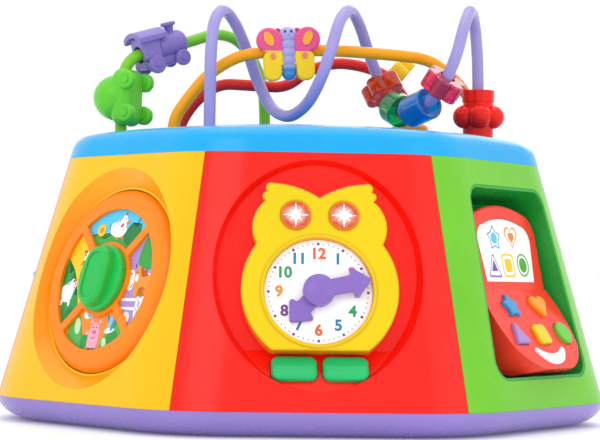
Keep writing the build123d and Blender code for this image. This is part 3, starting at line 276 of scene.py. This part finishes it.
def eye_lens_material():
    """Tinted lens, lit from behind so that it pales towards each eye's middle."""
    g = Graph("lens_red")
    near = None
    for x, y in EYES:
        middle = side(0) @ Vector((x, y, OWL_FRONT))
        one = g.distance(tuple(middle * MM))
        near = one if near is None else g.math("MINIMUM", near, one)
    share = g.span(near, 0.0010, 0.0068, 0.0, 1.0)
    facets = g.node("ShaderNodeTexVoronoi", {"Vector": g.object, "Scale": 330.0}).outputs["Distance"]
    glass = g.mix(g.span(facets, 0.0, 0.6, 0.0, 1.0), linear("#EC6A44"), linear("#C8401E"))
    tone = g.mix(share, linear("#FFE6DC"), glass)
    g.set("Emission Color", tone)
    g.set("Emission Strength", 0.12)
    g.set("Coat Weight", 0.8)
    return finish_surface(g, tone, 0.1, grain=0.1)


def butterfly_body_material():
    """Lavender segments and a blue tail."""
    g = Graph("butterfly_lavender")
    lo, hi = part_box("butterfly_body")
    height = g.node("ShaderNodeSeparateXYZ", {"Vector": g.object}).outputs["Z"]
    tail = lo.z + 0.24 * (hi.z - lo.z)
    share = g.span(height, tail - 0.0012, tail + 0.0012, 0.0, 1.0)
    tone = g.mix(share, linear("#3C8CCC"), linear("#A9A0D8"))
    for ear in EARS:
        away = g.distance(tuple((FLY @ Vector(ear)) * MM))
        tone = g.mix(g.span(away, 0.0029, 0.0031, 0.0, 1.0), linear("#C03C78"), tone)
    return finish_surface(g, tone, 0.25)


def butterfly_wing_material():
    """Pink upper wings, yellow lower wings."""
    g = Graph("wing_pink")
    lo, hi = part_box("butterfly_wings")
    height = g.node("ShaderNodeSeparateXYZ", {"Vector": g.object}).outputs["Z"]
    border = lo.z + 0.545 * (hi.z - lo.z)
    share = g.span(height, border - 0.0002, border + 0.0002, 0.0, 1.0)
    return finish_surface(g, g.mix(share, linear("#FFD200"), linear("#F04C8C")), 0.25)


MATERIALS["lens_red"] = eye_lens_material()
BY_NODE = {
    "panel_picture": side_toned("yellow_dish", "#EFC000", "#F79C00", [tuple(LEFT_FRONT)], low=0.6,
                                high=0.99),
    "owl_body": side_toned("owl_yellow", "#E8CA00", "#F59A00", [tuple(FRONT)], edge=0.003),
    "wheel_knob": side_toned("knob_green", "#1CBC50", "#34B846", [tuple(LEFT_FRONT)]),
    "niche_liner": plastic("niche_green", "#1FA640"),
    "butterfly_body": butterfly_body_material(),
    "butterfly_wings": butterfly_wing_material(),
    "bead_train": plastic("train_purple", "#8674BE"),
    "bead_car": plastic("car_green", "#62CA34"),
}

slots = {row["node"]: row["material_slot"] for row in frame["record"]["subparts"]}
for node, obj in NODES.items():
    finish = BY_NODE.get(node) or MATERIALS.get(slots[node]) or MATERIALS["white_plastic"]
    obj.data.materials.clear()
    obj.data.materials.append(finish)


# ---------------------------------------------------------------- drawing
def ellipse(x, y, a, b=None, turn=0.0, count=40, start=0.0, end=360.0):
    b = a if b is None else b
    turn = math.radians(turn)
    points = []
    whole = abs(end - start) >= 360
    for i in range(count):
        t = math.radians(start + (end - start) * i / (count if whole else count - 1))
        u, v = a * math.cos(t), b * math.sin(t)
        points.append((x + u * math.cos(turn) - v * math.sin(turn),
                       y + u * math.sin(turn) + v * math.cos(turn)))
    return points


def smooth(points, steps=8):
    """Closed smooth outline through points."""
    made = []
    n = len(points)
    for i in range(n):
        a, b, c, d = (Vector(points[(i + k) % n]) for k in (-1, 0, 1, 2))
        for j in range(steps):
            t = j / steps
            made.append(tuple(0.5 * ((2 * b) + (c - a) * t + (2 * a - 5 * b + 4 * c - d) * t * t
                                     + (3 * b - a - 3 * c + d) * t ** 3)))
    return made


def star(x, y, outer, inner, count=5, turn=90.0):
    points = []
    for i in range(2 * count):
        radius = inner if i % 2 else outer
        angle = math.radians(turn + 180 / count * i)
        points.append((x + radius * math.cos(angle), y + radius * math.sin(angle)))
    return points


def rounded(points, radius, steps=5):
    """Polygon with its corners cut by short arcs."""
    made = []
    n = len(points)
    for i in range(n):
        a, b, c = (Vector(points[(i + k) % n]) for k in (-1, 0, 1))
        one, two = a - b, c - b
        cut = min(radius, one.length * 0.45, two.length * 0.45)
        start, end = b + one.normalized() * cut, b + two.normalized() * cut
        for j in range(steps + 1):
            t = j / steps
            made.append(tuple((1 - t) ** 2 * start + 2 * t * (1 - t) * b + t * t * end))
    return made


def bar(x0, y0, x1, y1, width):
    along = Vector((x1 - x0, y1 - y0)).normalized()
    off = Vector((-along.y, along.x)) * width / 2
    a, b = Vector((x0, y0)), Vector((x1, y1))
    return [tuple(a - off), tuple(b - off), tuple(b + off), tuple(a + off)]


def area(points):
    return sum(a[0] * b[1] - b[0] * a[1] for a, b in zip(points, points[1:] + points[:1])) / 2


def make_object(name, bm, matrix, material, body):
    bmesh.ops.remove_doubles(bm, verts=bm.verts, dist=1e-5)
    bmesh.ops.recalc_face_normals(bm, faces=bm.faces)
    mesh = bpy.data.meshes.new(name)
    bm.to_mesh(mesh)
    bm.free()
    mesh.transform(Matrix.Scale(MM, 4) @ matrix)
    mesh.materials.append(material)
    obj = bpy.data.objects.new(name, mesh)
    bpy.context.scene.collection.objects.link(obj)
    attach(obj, body)
    return obj


def prism(bm, outer, low, high, lift=None):
    """Outline made solid; lift(x, y) bends its faces to a curved surface."""
    if area(outer) < 0:
        outer = outer[::-1]
    lift = lift or (lambda x, y: 0.0)
    top = [bm.verts.new((x, y, high + lift(x, y))) for x, y in outer]
    foot = [bm.verts.new((x, y, low + lift(x, y))) for x, y in outer]
    caps = [bm.faces.new(top), bm.faces.new(foot[::-1])]
    for i in range(len(outer)):
        j = (i + 1) % len(outer)
        bm.faces.new((foot[i], foot[j], top[j], top[i]))
    bmesh.ops.triangulate(bm, faces=caps, ngon_method="EAR_CLIP")


def band(bm, outer, inner, low, high):
    """Ring between two outlines of the same count."""
    rows = [[bm.verts.new((x, y, z)) for x, y in line]
            for line, z in ((outer, low), (outer, high), (inner, high), (inner, low))]
    for a, b in zip(rows, rows[1:] + rows[:1]):
        for i in range(len(a)):
            j = (i + 1) % len(a)
            bm.faces.new((a[i], a[j], b[j], b[i]))


def patch(name, outlines, low, high, matrix, material, body="housing", lift=None):
    bm = bmesh.new()
    for outline in outlines:
        prism(bm, outline, low, high, lift)
    return make_object(name, bm, matrix, material, body)


def ring(name, outer, inner, low, high, matrix, material, body="housing"):
    bm = bmesh.new()
    band(bm, outer, inner, low, high)
    return make_object(name, bm, matrix, material, body)


# ---------------------------------------------------------------- clock dial
INK = {
    "orange": printed("ink_orange", "#F05A28"), "teal": printed("ink_teal", "#0A7FB4"),
    "green": printed("ink_green", "#159A56"), "violet": printed("ink_violet", "#7A3C96"),
    "pink": printed("ink_pink", "#D84C86"), "slate": printed("ink_slate", "#6E86A8"),
    "navy": printed("ink_navy", "#3C4C86"), "amber": printed("ink_amber", "#F08C14"),
}
NUMERALS = {12: "orange", 1: "teal", 2: "pink", 3: "green", 4: "green", 5: "teal", 6: "orange", 7: "teal",
            8: "violet", 9: "amber", 10: "green", 11: "teal"}
NUMERAL_RING = 24.0
NUMERAL_SIZE = 9.5


def numeral(number, ink):
    curve = bpy.data.curves.new(f"numeral_{number}", "FONT")
    curve.body = str(number)
    curve.size = NUMERAL_SIZE
    curve.align_x, curve.align_y = "CENTER", "CENTER"
    curve.offset = 0.34
    curve.extrude = 0.06
    curve.resolution_u = 6
    shaper = bpy.data.objects.new(f"shaper_{number}", curve)
    bpy.context.scene.collection.objects.link(shaper)
    bpy.context.view_layer.update()
    mesh = bpy.data.meshes.new_from_object(shaper.evaluated_get(bpy.context.evaluated_depsgraph_get()))
    bpy.data.objects.remove(shaper)
    angle = math.radians(90 - 30 * number)
    at = Matrix.Translation((DIAL_CENTRE[0] + NUMERAL_RING * math.cos(angle),
                             DIAL_CENTRE[1] + NUMERAL_RING * math.sin(angle), DIAL_FACE + 0.06))
    bm = bmesh.new()
    bm.from_mesh(mesh)
    bpy.data.meshes.remove(mesh)
    return make_object(f"numeral_{number}", bm, side(0) @ at, ink, "housing")


for number, ink in NUMERALS.items():
    numeral(number, INK[ink])

MINUTE_RING = 30.3
dots, dashes = [], []
for minute in range(60):
    angle = math.radians(90 - 6 * minute)
    x = DIAL_CENTRE[0] + MINUTE_RING * math.cos(angle)
    y = DIAL_CENTRE[1] + MINUTE_RING * math.sin(angle)
    if minute % 5:
        dots.append(ellipse(x, y, 0.42, count=10))
    else:
        along = (x + 0.9 * math.cos(angle), y + 0.9 * math.sin(angle),
                 x - 0.7 * math.cos(angle), y - 0.7 * math.sin(angle))
        dashes.append(bar(*along, 1.5))
patch("minute_dots", dots, DIAL_FACE, DIAL_FACE + 0.08, side(0), INK["slate"])
patch("hour_marks", dashes, DIAL_FACE, DIAL_FACE + 0.08, side(0), INK["navy"])


# ---------------------------------------------------------------- lit eyes
GLOW = glowing("lamp_glow", "#FFFFFF", 1.3)
RAYS = ((7.8, 0.95), (5.4, 0.7)) * 4     # reach and half width, long and short in turn
LENS_CROWN = OWL_FRONT + 1.82
for name, (x, y) in zip(("left", "right"), EYES):
    def dome(px, py, cx=x, cy=y):
        return LENS_CROWN - ((px - cx) ** 2 + (py - cy) ** 2) / 60

    rays = []
    for i, (reach, wide) in enumerate(RAYS):
        direction = math.radians(45 * i)
        tip = (x + reach * math.cos(direction), y + reach * math.sin(direction))
        off = (wide * -math.sin(direction), wide * math.cos(direction))
        rays.append([(x - off[0], y - off[1]), tip, (x + off[0], y + off[1])])
    rays.append(ellipse(x, y, 2.3, count=24))
    for i, ray in enumerate(rays):
        fine = []
        for a, b in zip(ray, ray[1:] + ray[:1]):
            fine += [tuple(Vector(a).lerp(Vector(b), t / 4)) for t in range(4)]
        rays[i] = fine if len(ray) == 3 else ray
    bm = bmesh.new()
    for i, ray in enumerate(rays):
        prism(bm, ray, 0.01 * i, 0.01 * i + 0.03, dome)
    make_object(f"eye_glow_{name}", bm, side(0), GLOW, "housing")
    rim = ellipse(x, y, 9.15, count=48), ellipse(x, y, 8.35, count=48)
    ring(f"eye_rim_{name}", rim[0], rim[1], OWL_FRONT + 0.3, OWL_FRONT + 0.62, side(0),
         MATERIALS["orange_plastic"])


# ---------------------------------------------------------------- picture windows
PAINT = {
    "sky": printed("paint_sky", "#4CC8F4"), "grass": printed("paint_grass", "#36A83C"),
    "bush": printed("paint_bush", "#0E7A3A"), "white": printed("paint_white", "#FAFAFA", vary=0.02),
    "beak": printed("paint_beak", "#F08020"), "red": printed("paint_red", "#C83C28"),
    "sun": printed("paint_sun", "#FFD21E"), "lilac": printed("paint_lilac", "#A88CD2"),
    "tree": printed("paint_tree", "#2CA03C"), "cow": printed("paint_cow", "#F0902C"),
    "brown": printed("paint_brown", "#8C5A28"), "dusk": printed("paint_dusk", "#FF8C1E"),
    "pig": printed("paint_pig", "#F2A6C4"), "rose": printed("paint_rose", "#D8648C"),
    "lamp": printed("paint_balloon", "#7CC8EC"), "hill": printed("paint_hill", "#48B44A"),
    "shine": printed("paint_shine", "#C8E8B4"), "teal": printed("paint_teal", "#2C9CA8"),
    "day": printed("paint_day", "#FFC800"), "leaf": printed("paint_leaf", "#1E9640"),
    "ink": printed("paint_ink", "#30302C"), "face": printed("paint_face", "#F4D2C0"),
    "steel": printed("paint_grey", "#7C9CA8"),
}
WINDOW_OUT, WINDOW_IN = 48.5, 22.5


def sector(at, inner=WINDOW_IN, outer=WINDOW_OUT, half=45.0):
    """Ring sector facing the given direction, a little larger than the window in front of it."""
    points = []
    for radius, way in ((outer, 1), (inner, -1)):
        for i in range(25):
            angle = math.radians(at + way * (-half + 2 * half * i / 24))
            points.append((radius * math.cos(angle), radius * math.sin(angle)))
    return points


def clip_to_sector(points, at):
    """Keeps a drawn shape on its own picture, away from the neighbouring ones."""
    kept = []
    for x, y in points:
        radius = min(max(math.hypot(x, y), WINDOW_IN), WINDOW_OUT)
        angle = (math.degrees(math.atan2(y, x)) - at + 180) % 360 - 180
        angle = math.radians(at + min(max(angle, -44.6), 44.6))
        kept.append((radius * math.cos(angle), radius * math.sin(angle)))
    return kept


def picture(name, at, background, layers):
    """Printed card picture: a backing sector, then flat shapes one on another."""
    where = side(-1)
    patch(f"picture_{name}", [sector(at)], PICTURE_TOP, PICTURE_TOP + 0.06, where, PAINT[background])
    for i, (paint, shapes) in enumerate(layers):
        level = PICTURE_TOP + 0.06 + 0.05 * i
        patch(f"picture_{name}_{i}", [clip_to_sector(shape, at) for shape in shapes], level - 0.03,
              level + 0.05, where, PAINT[paint])


def hills(points, floor):
    """Rolling ground: a smooth top line over a straight foot."""
    line = []
    for a, b in zip(points, points[1:]):
        for j in range(6):
            t = j / 6
            lift = (1 - math.cos(math.pi * t)) / 2
            line.append((a[0] + (b[0] - a[0]) * t, a[1] + (b[1] - a[1]) * lift))
    line.append(points[-1])
    foot = [(points[-1][0] + (points[0][0] - points[-1][0]) * i / 16, floor) for i in range(17)]
    return line + foot


picture("top", 90, "sky", [
    ("grass", [hills([(-34, 25), (-22, 29), (-12, 27), (-3, 31), (6, 28), (16, 32), (34, 27)], 15)]),
    ("bush", [smooth([(9, 25), (8, 31), (12, 34), (14, 38), (18, 35), (23, 37), (24, 31), (22, 25),
                      (16, 22)])]),
    ("sun", [star(-17, 33, 4.6, 3.4, 12)]),
    ("white", [smooth([(-7, 31), (-8, 36), (-4, 38), (0, 36), (2, 40), (5, 43), (8, 40), (7, 36),
                       (9, 33), (6, 29), (0, 28)]), ellipse(-17, 33, 1.0, count=10)]),
    ("beak", [ellipse(9, 38, 2.2, 0.9, 15, 14), ellipse(1, 27.4, 1.8, 0.8, 20, 12),
              ellipse(6, 28, 1.8, 0.8, -10, 12), ellipse(-17, 33, 2.0, count=14)]),
    ("red", [ellipse(3.6, 36, 1.9, 1.0, 40, 14), ellipse(5.5, 43.6, 1.3, 0.8, 30, 12)]),
    ("ink", [ellipse(6.4, 40.4, 0.5, count=8), bar(-9, 37, -8, 33, 0.5), bar(19, 36, 21, 41, 0.5)]),
])
picture("right", 0, "lilac", [
    ("tree", [smooth([(30, 10), (29, 18), (32, 26), (37, 31), (43, 26), (47, 18), (47, 9), (40, 7)])]),
    ("brown", [bar(39, 8, 39, 3, 1.6)]),
    ("white", [bar(36, 3.4, 47, 3.4, 2.2), bar(18, -12.5, 40, -12.5, 2.2), bar(18, -18.6, 40, -18.6, 2.2),
               bar(36.5, -9, 36.5, -23, 2.4), bar(41.5, -9, 39.5, -20, 2.0),
               smooth([(23, 6), (22, 0), (24, -6), (28, -6), (29, 0), (27, 6)])]),
    ("cow", [smooth([(30, 8), (28.5, 2), (30, -4), (31, -10), (34, -10), (36, -5), (41, -5), (42, -10),
                     (45, -9), (46, -1), (43, 3), (37, 2), (34, 5), (33, 9)])]),
    ("white", [star(28.5, -24.5, 4.2, 2.0, 9), star(38.5, -23.5, 2.6, 1.2, 7),
               ellipse(31.2, 1.4, 1.6, 2.6, 0, 14)]),
    ("sun", [ellipse(28.5, -24.5, 1.5, count=12), ellipse(38.5, -23.5, 0.9, count=10),
             ellipse(44.8, 0.4, 1.5, count=12)]),
    ("ink", [ellipse(30.6, 5.0, 0.5, count=8), ellipse(25.2, 4.0, 0.6, count=8),
             bar(28.6, 7.8, 27.6, 10.4, 0.6), bar(26.4, -5.5, 28.2, -2.5, 0.5)]),
])
picture("bottom", 270, "dusk", [
    ("hill", [hills([(-36, -20), (-27, -18.5), (-19, -24), (-12, -38), (-6, -50)], -52),
              hills([(6, -50), (9, -38), (17, -31), (25, -24), (36, -21)], -52)]),
    ("leaf", [ellipse(-9, -41, 4.0, 5.0, 0, 20), ellipse(19, -38, 6.0, 5.0, 20, 20),
              hills([(-10, -47), (0, -44.5), (10, -47)], -52)]),
    ("shine", [ellipse(-19, -31, 3.0, 5.6, 15, 20), ellipse(12, -41, 2.2, 3.4, 20, 16)]),
    ("pig", [smooth([(-5, -44), (-5.5, -37), (-4.5, -32), (-2, -28.5), (2, -28.5), (4.5, -32), (5.5, -37),
                     (5, -44), (0, -45.5)]), ellipse(-4.2, -27.4, 1.5, 1.9, 20, 12),
             ellipse(4.2, -27.4, 1.5, 1.9, -20, 12), ellipse(-7, -35, 2.2, 1.1, 40, 12)]),
    ("white", [smooth([(-15, -23), (-12, -20), (-8, -20), (-4, -22), (-6, -25), (-12, -26)]),
               smooth([(10, -34), (14, -31), (20, -32), (18, -34), (13, -35)])]),
    ("lamp", [ellipse(-8.4, -23.6, 3.0, 1.6, -15, 16), ellipse(14.8, -27.6, 2.0, 4.2, -15, 16)]),
    ("teal", [ellipse(18.0, -29.5, 1.4, 4.4, -25, 14), ellipse(11.8, -25.4, 1.0, 3.0, 25, 12)]),
    ("rose", [ellipse(0, -34.6, 1.9, 1.3, 0, 14), ellipse(0, -38.2, 2.0, 0.5, 0, 12)]),
    ("ink", [ellipse(-1.7, -31.6, 0.5, count=8), ellipse(1.7, -31.6, 0.5, count=8),
             bar(-3.0, -45.4, -0.6, -45.4, 0.9), bar(0.8, -45.4, 3.2, -45.4, 0.9)]),
])
picture("left", 180, "day", [
    ("leaf", [smooth([(-48, 14), (-44, 13), (-41, 4), (-36, 6), (-38, -3), (-31, -2), (-33, -9), (-27, -12),
                      (-25, -20), (-32, -34), (-48, -24), (-49, -4)])]),
    ("bush", [smooth([(-46, 9), (-43.5, 6), (-44, -2), (-46, -2)], 5),
              smooth([(-36, -22), (-30, -19), (-28, -22), (-33, -27)], 5)]),
    ("white", [smooth([(-45, -6), (-44, -12), (-40, -15.5), (-34, -14), (-33, -9), (-31, -5), (-32, -1),
                       (-36, 0), (-38, -4), (-42, -4)]), ellipse(-43, -15.5, 1.2, 2.4, 0, 10),
               ellipse(-35, -16, 1.2, 2.4, 0, 10),
               smooth([(-29, 13), (-28, 16), (-26, 18.5), (-24.5, 16), (-25.5, 12.5)])]),
    ("face", [ellipse(-32.4, -4.0, 2.0, 2.5, 10, 14)]),
    ("ink", [bar(-30, 19.5, -27.5, 15.5, 0.55), bar(-28, 12.5, -31, 9.5, 0.45),
             bar(-27, 12.5, -28.5, 9, 0.45), ellipse(-27.6, 18.6, 0.7, count=8),
             ellipse(-31.8, -3.2, 0.45, count=8), ellipse(-33.6, -1.2, 1.6, 0.7, 30, 10),
             bar(-33.4, -5.6, -31.6, -5.9, 0.35)]),
])


# ---------------------------------------------------------------- telephone screen
SCREEN_FACE = -0.5


def heart(x, y, size):
    points = []
    for i in range(40):
        t = 2 * math.pi * i / 40
        u = 16 * math.sin(t) ** 3
        v = 13 * math.cos(t) - 5 * math.cos(2 * t) - 2 * math.cos(3 * t) - math.cos(4 * t)
        points.append((x + u / 34 * size, y + (v + 2.5) / 34 * size))
    return points


def triangle(x, y, size):
    foot = y - size * 0.44
    return rounded([(x, y + size * 0.52), (x - size * 0.5, foot), (x + size * 0.5, foot)], size * 0.12)


def box_outline(x, y, wide, tall, radius):
    left, right, low, high = x - wide / 2, x + wide / 2, y - tall / 2, y + tall / 2
    return rounded([(left, high), (left, low), (right, low), (right, high)], radius)


ICONS = {
    "star": (lambda s: rounded(star(-12.8, 33.9, 9.2 * s, 5.4 * s), 1.6 * s), "#18A4DC", "#58C8F0", 0.48),
    "heart": (lambda s: heart(10.2, 34.4, 17.6 * s), "#F0963C", "#F08220", 0.46),
    "triangle": (lambda s: triangle(-18.5, 15.5, 17.0 * s), "#8468B4", "#6C50A4", 0.46),
    "square": (lambda s: box_outline(0.3, 16.0, 15.6 * s, 15.6 * s, 4 * s), "#E8C80C", "#ECC414", 0.56),
    "circle": (lambda s: ellipse(19.8, 16.4, 7.8 * s, 7.8 * s), "#5CB43C", "#48A82C", 0.62),
}
for name, (draw, line, fill, core) in ICONS.items():
    where = side(1) @ SCREEN
    ring(f"icon_{name}_line", draw(1.0), draw(0.84), SCREEN_FACE - 0.02, SCREEN_FACE + 0.10, where,
         printed(f"icon_{name}_ink", line))
    patch(f"icon_{name}_core", [draw(core)], SCREEN_FACE - 0.02, SCREEN_FACE + 0.10, where,
          printed(f"icon_{name}_fill", fill))


# ---------------------------------------------------------------- butterfly's face and spots
HEAD_Y, HEAD_R, BELLY = 9.3, 6.5, 5.0


def on_head(x, y):
    """Height of the head's round front over the butterfly's own plane."""
    return BELLY + math.sqrt(max(HEAD_R ** 2 - x * x - (y - HEAD_Y) ** 2, 0.0))


patch("butterfly_eyes", [ellipse(x, 12.0, 0.85, 1.0, 0, 16) for x in (-2.1, 2.1)], -0.05, 0.16, FLY,
      PAINT["ink"], "butterfly", on_head)
patch("butterfly_nose", [ellipse(0, 9.4, 0.9, 0.6, 0, 16)], -0.05, 0.14, FLY, PAINT["steel"],
      "butterfly", on_head)
SPOT_TOP, DOT_TOP = 9.98, 10.18      # height of the wings' raised spots over the butterfly's plane
patch("wing_spots", [ellipse(x, 7.4, 3.0, 5.2, -25 if x > 0 else 25, 32) for x in (-13.2, 13.2)],
      SPOT_TOP, SPOT_TOP + 0.12, FLY, printed("spot_orange", "#FFA82C"), "butterfly")
patch("wing_dots", [ellipse(x, -4.4, 1.7, 2.2, 0, 24) for x in (-10.8, 10.8)],
      DOT_TOP, DOT_TOP + 0.12, FLY, printed("dot_coral", "#F08070"), "butterfly")


# ---------------------------------------------------------------- floor, light, camera
def floor():
    g = Graph("floor_paper")
    g.set("Emission Color", linear("#FFFFFF"))
    g.set("Emission Strength", 0.08)
    finish_surface(g, linear("#F6F6F4"), 0.6, vary=0.01, grain=0.05, edge=0.0, scuff=0.02)
    bm = bmesh.new()
    bmesh.ops.create_grid(bm, x_segments=8, y_segments=8, size=9.0)
    mesh = bpy.data.meshes.new("floor")
    bm.to_mesh(mesh)
    bm.free()
    mesh.materials.append(g.material)
    obj = bpy.data.objects.new("floor", mesh)
    bpy.context.scene.collection.objects.link(obj)


def softbox(name, location, size, power, target=(0, 0, 0.12)):
    lamp = bpy.data.lights.new(name, "AREA")
    lamp.shape = "DISK"
    lamp.size = size
    lamp.energy = power
    obj = bpy.data.objects.new(name, lamp)
    bpy.context.scene.collection.objects.link(obj)
    obj.location = location
    aim = Vector(target) - Vector(location)
    obj.rotation_euler = aim.to_track_quat("-Z", "Y").to_euler()


floor()
softbox("key", (-0.9, -1.9, 1.5), 1.5, 8)
softbox("fill", (1.6, -1.5, 0.8), 1.4, 3)
softbox("top", (0.1, 0.2, 1.9), 1.8, 8)
softbox("back", (0.6, 1.9, 1.2), 1.5, 6)

world = bpy.data.worlds.new("studio")
bpy.context.scene.world = world
world.use_nodes = True
world.node_tree.nodes["Background"].inputs["Color"].default_value = (1.0, 1.0, 1.0, 1.0)
world.node_tree.nodes["Background"].inputs["Strength"].default_value = 1.0

bpy.context.scene.view_settings.view_transform = "Standard"

AZIMUTH, PITCH, ROLL = math.radians(3.8), math.radians(1.69), math.radians(0.85)
DISTANCE, EYE_HEIGHT = 1.408, 0.095
camera = bpy.data.objects.new("camera", bpy.data.cameras.new("camera"))
bpy.context.scene.collection.objects.link(camera)
forward = Vector((math.sin(AZIMUTH) * math.cos(PITCH), math.cos(AZIMUTH) * math.cos(PITCH),
                  math.sin(PITCH)))
right = forward.cross(Vector((0, 0, 1))).normalized()
up = right.cross(forward)
level_right, level_up = right.copy(), up.copy()
right = level_right * math.cos(ROLL) + level_up * math.sin(ROLL)
up = level_up * math.cos(ROLL) - level_right * math.sin(ROLL)
turned = Matrix((right, up, -forward)).transposed().to_4x4()
camera.matrix_world = Matrix.Translation((-math.sin(AZIMUTH) * DISTANCE, -math.cos(AZIMUTH) * DISTANCE,
                                          EYE_HEIGHT)) @ turned
camera.data.sensor_width = 36.0
camera.data.lens = 122.0
camera.data.shift_x = -2 / 600
camera.data.clip_start, camera.data.clip_end = 0.05, 30.0
bpy.context.scene.camera = camera
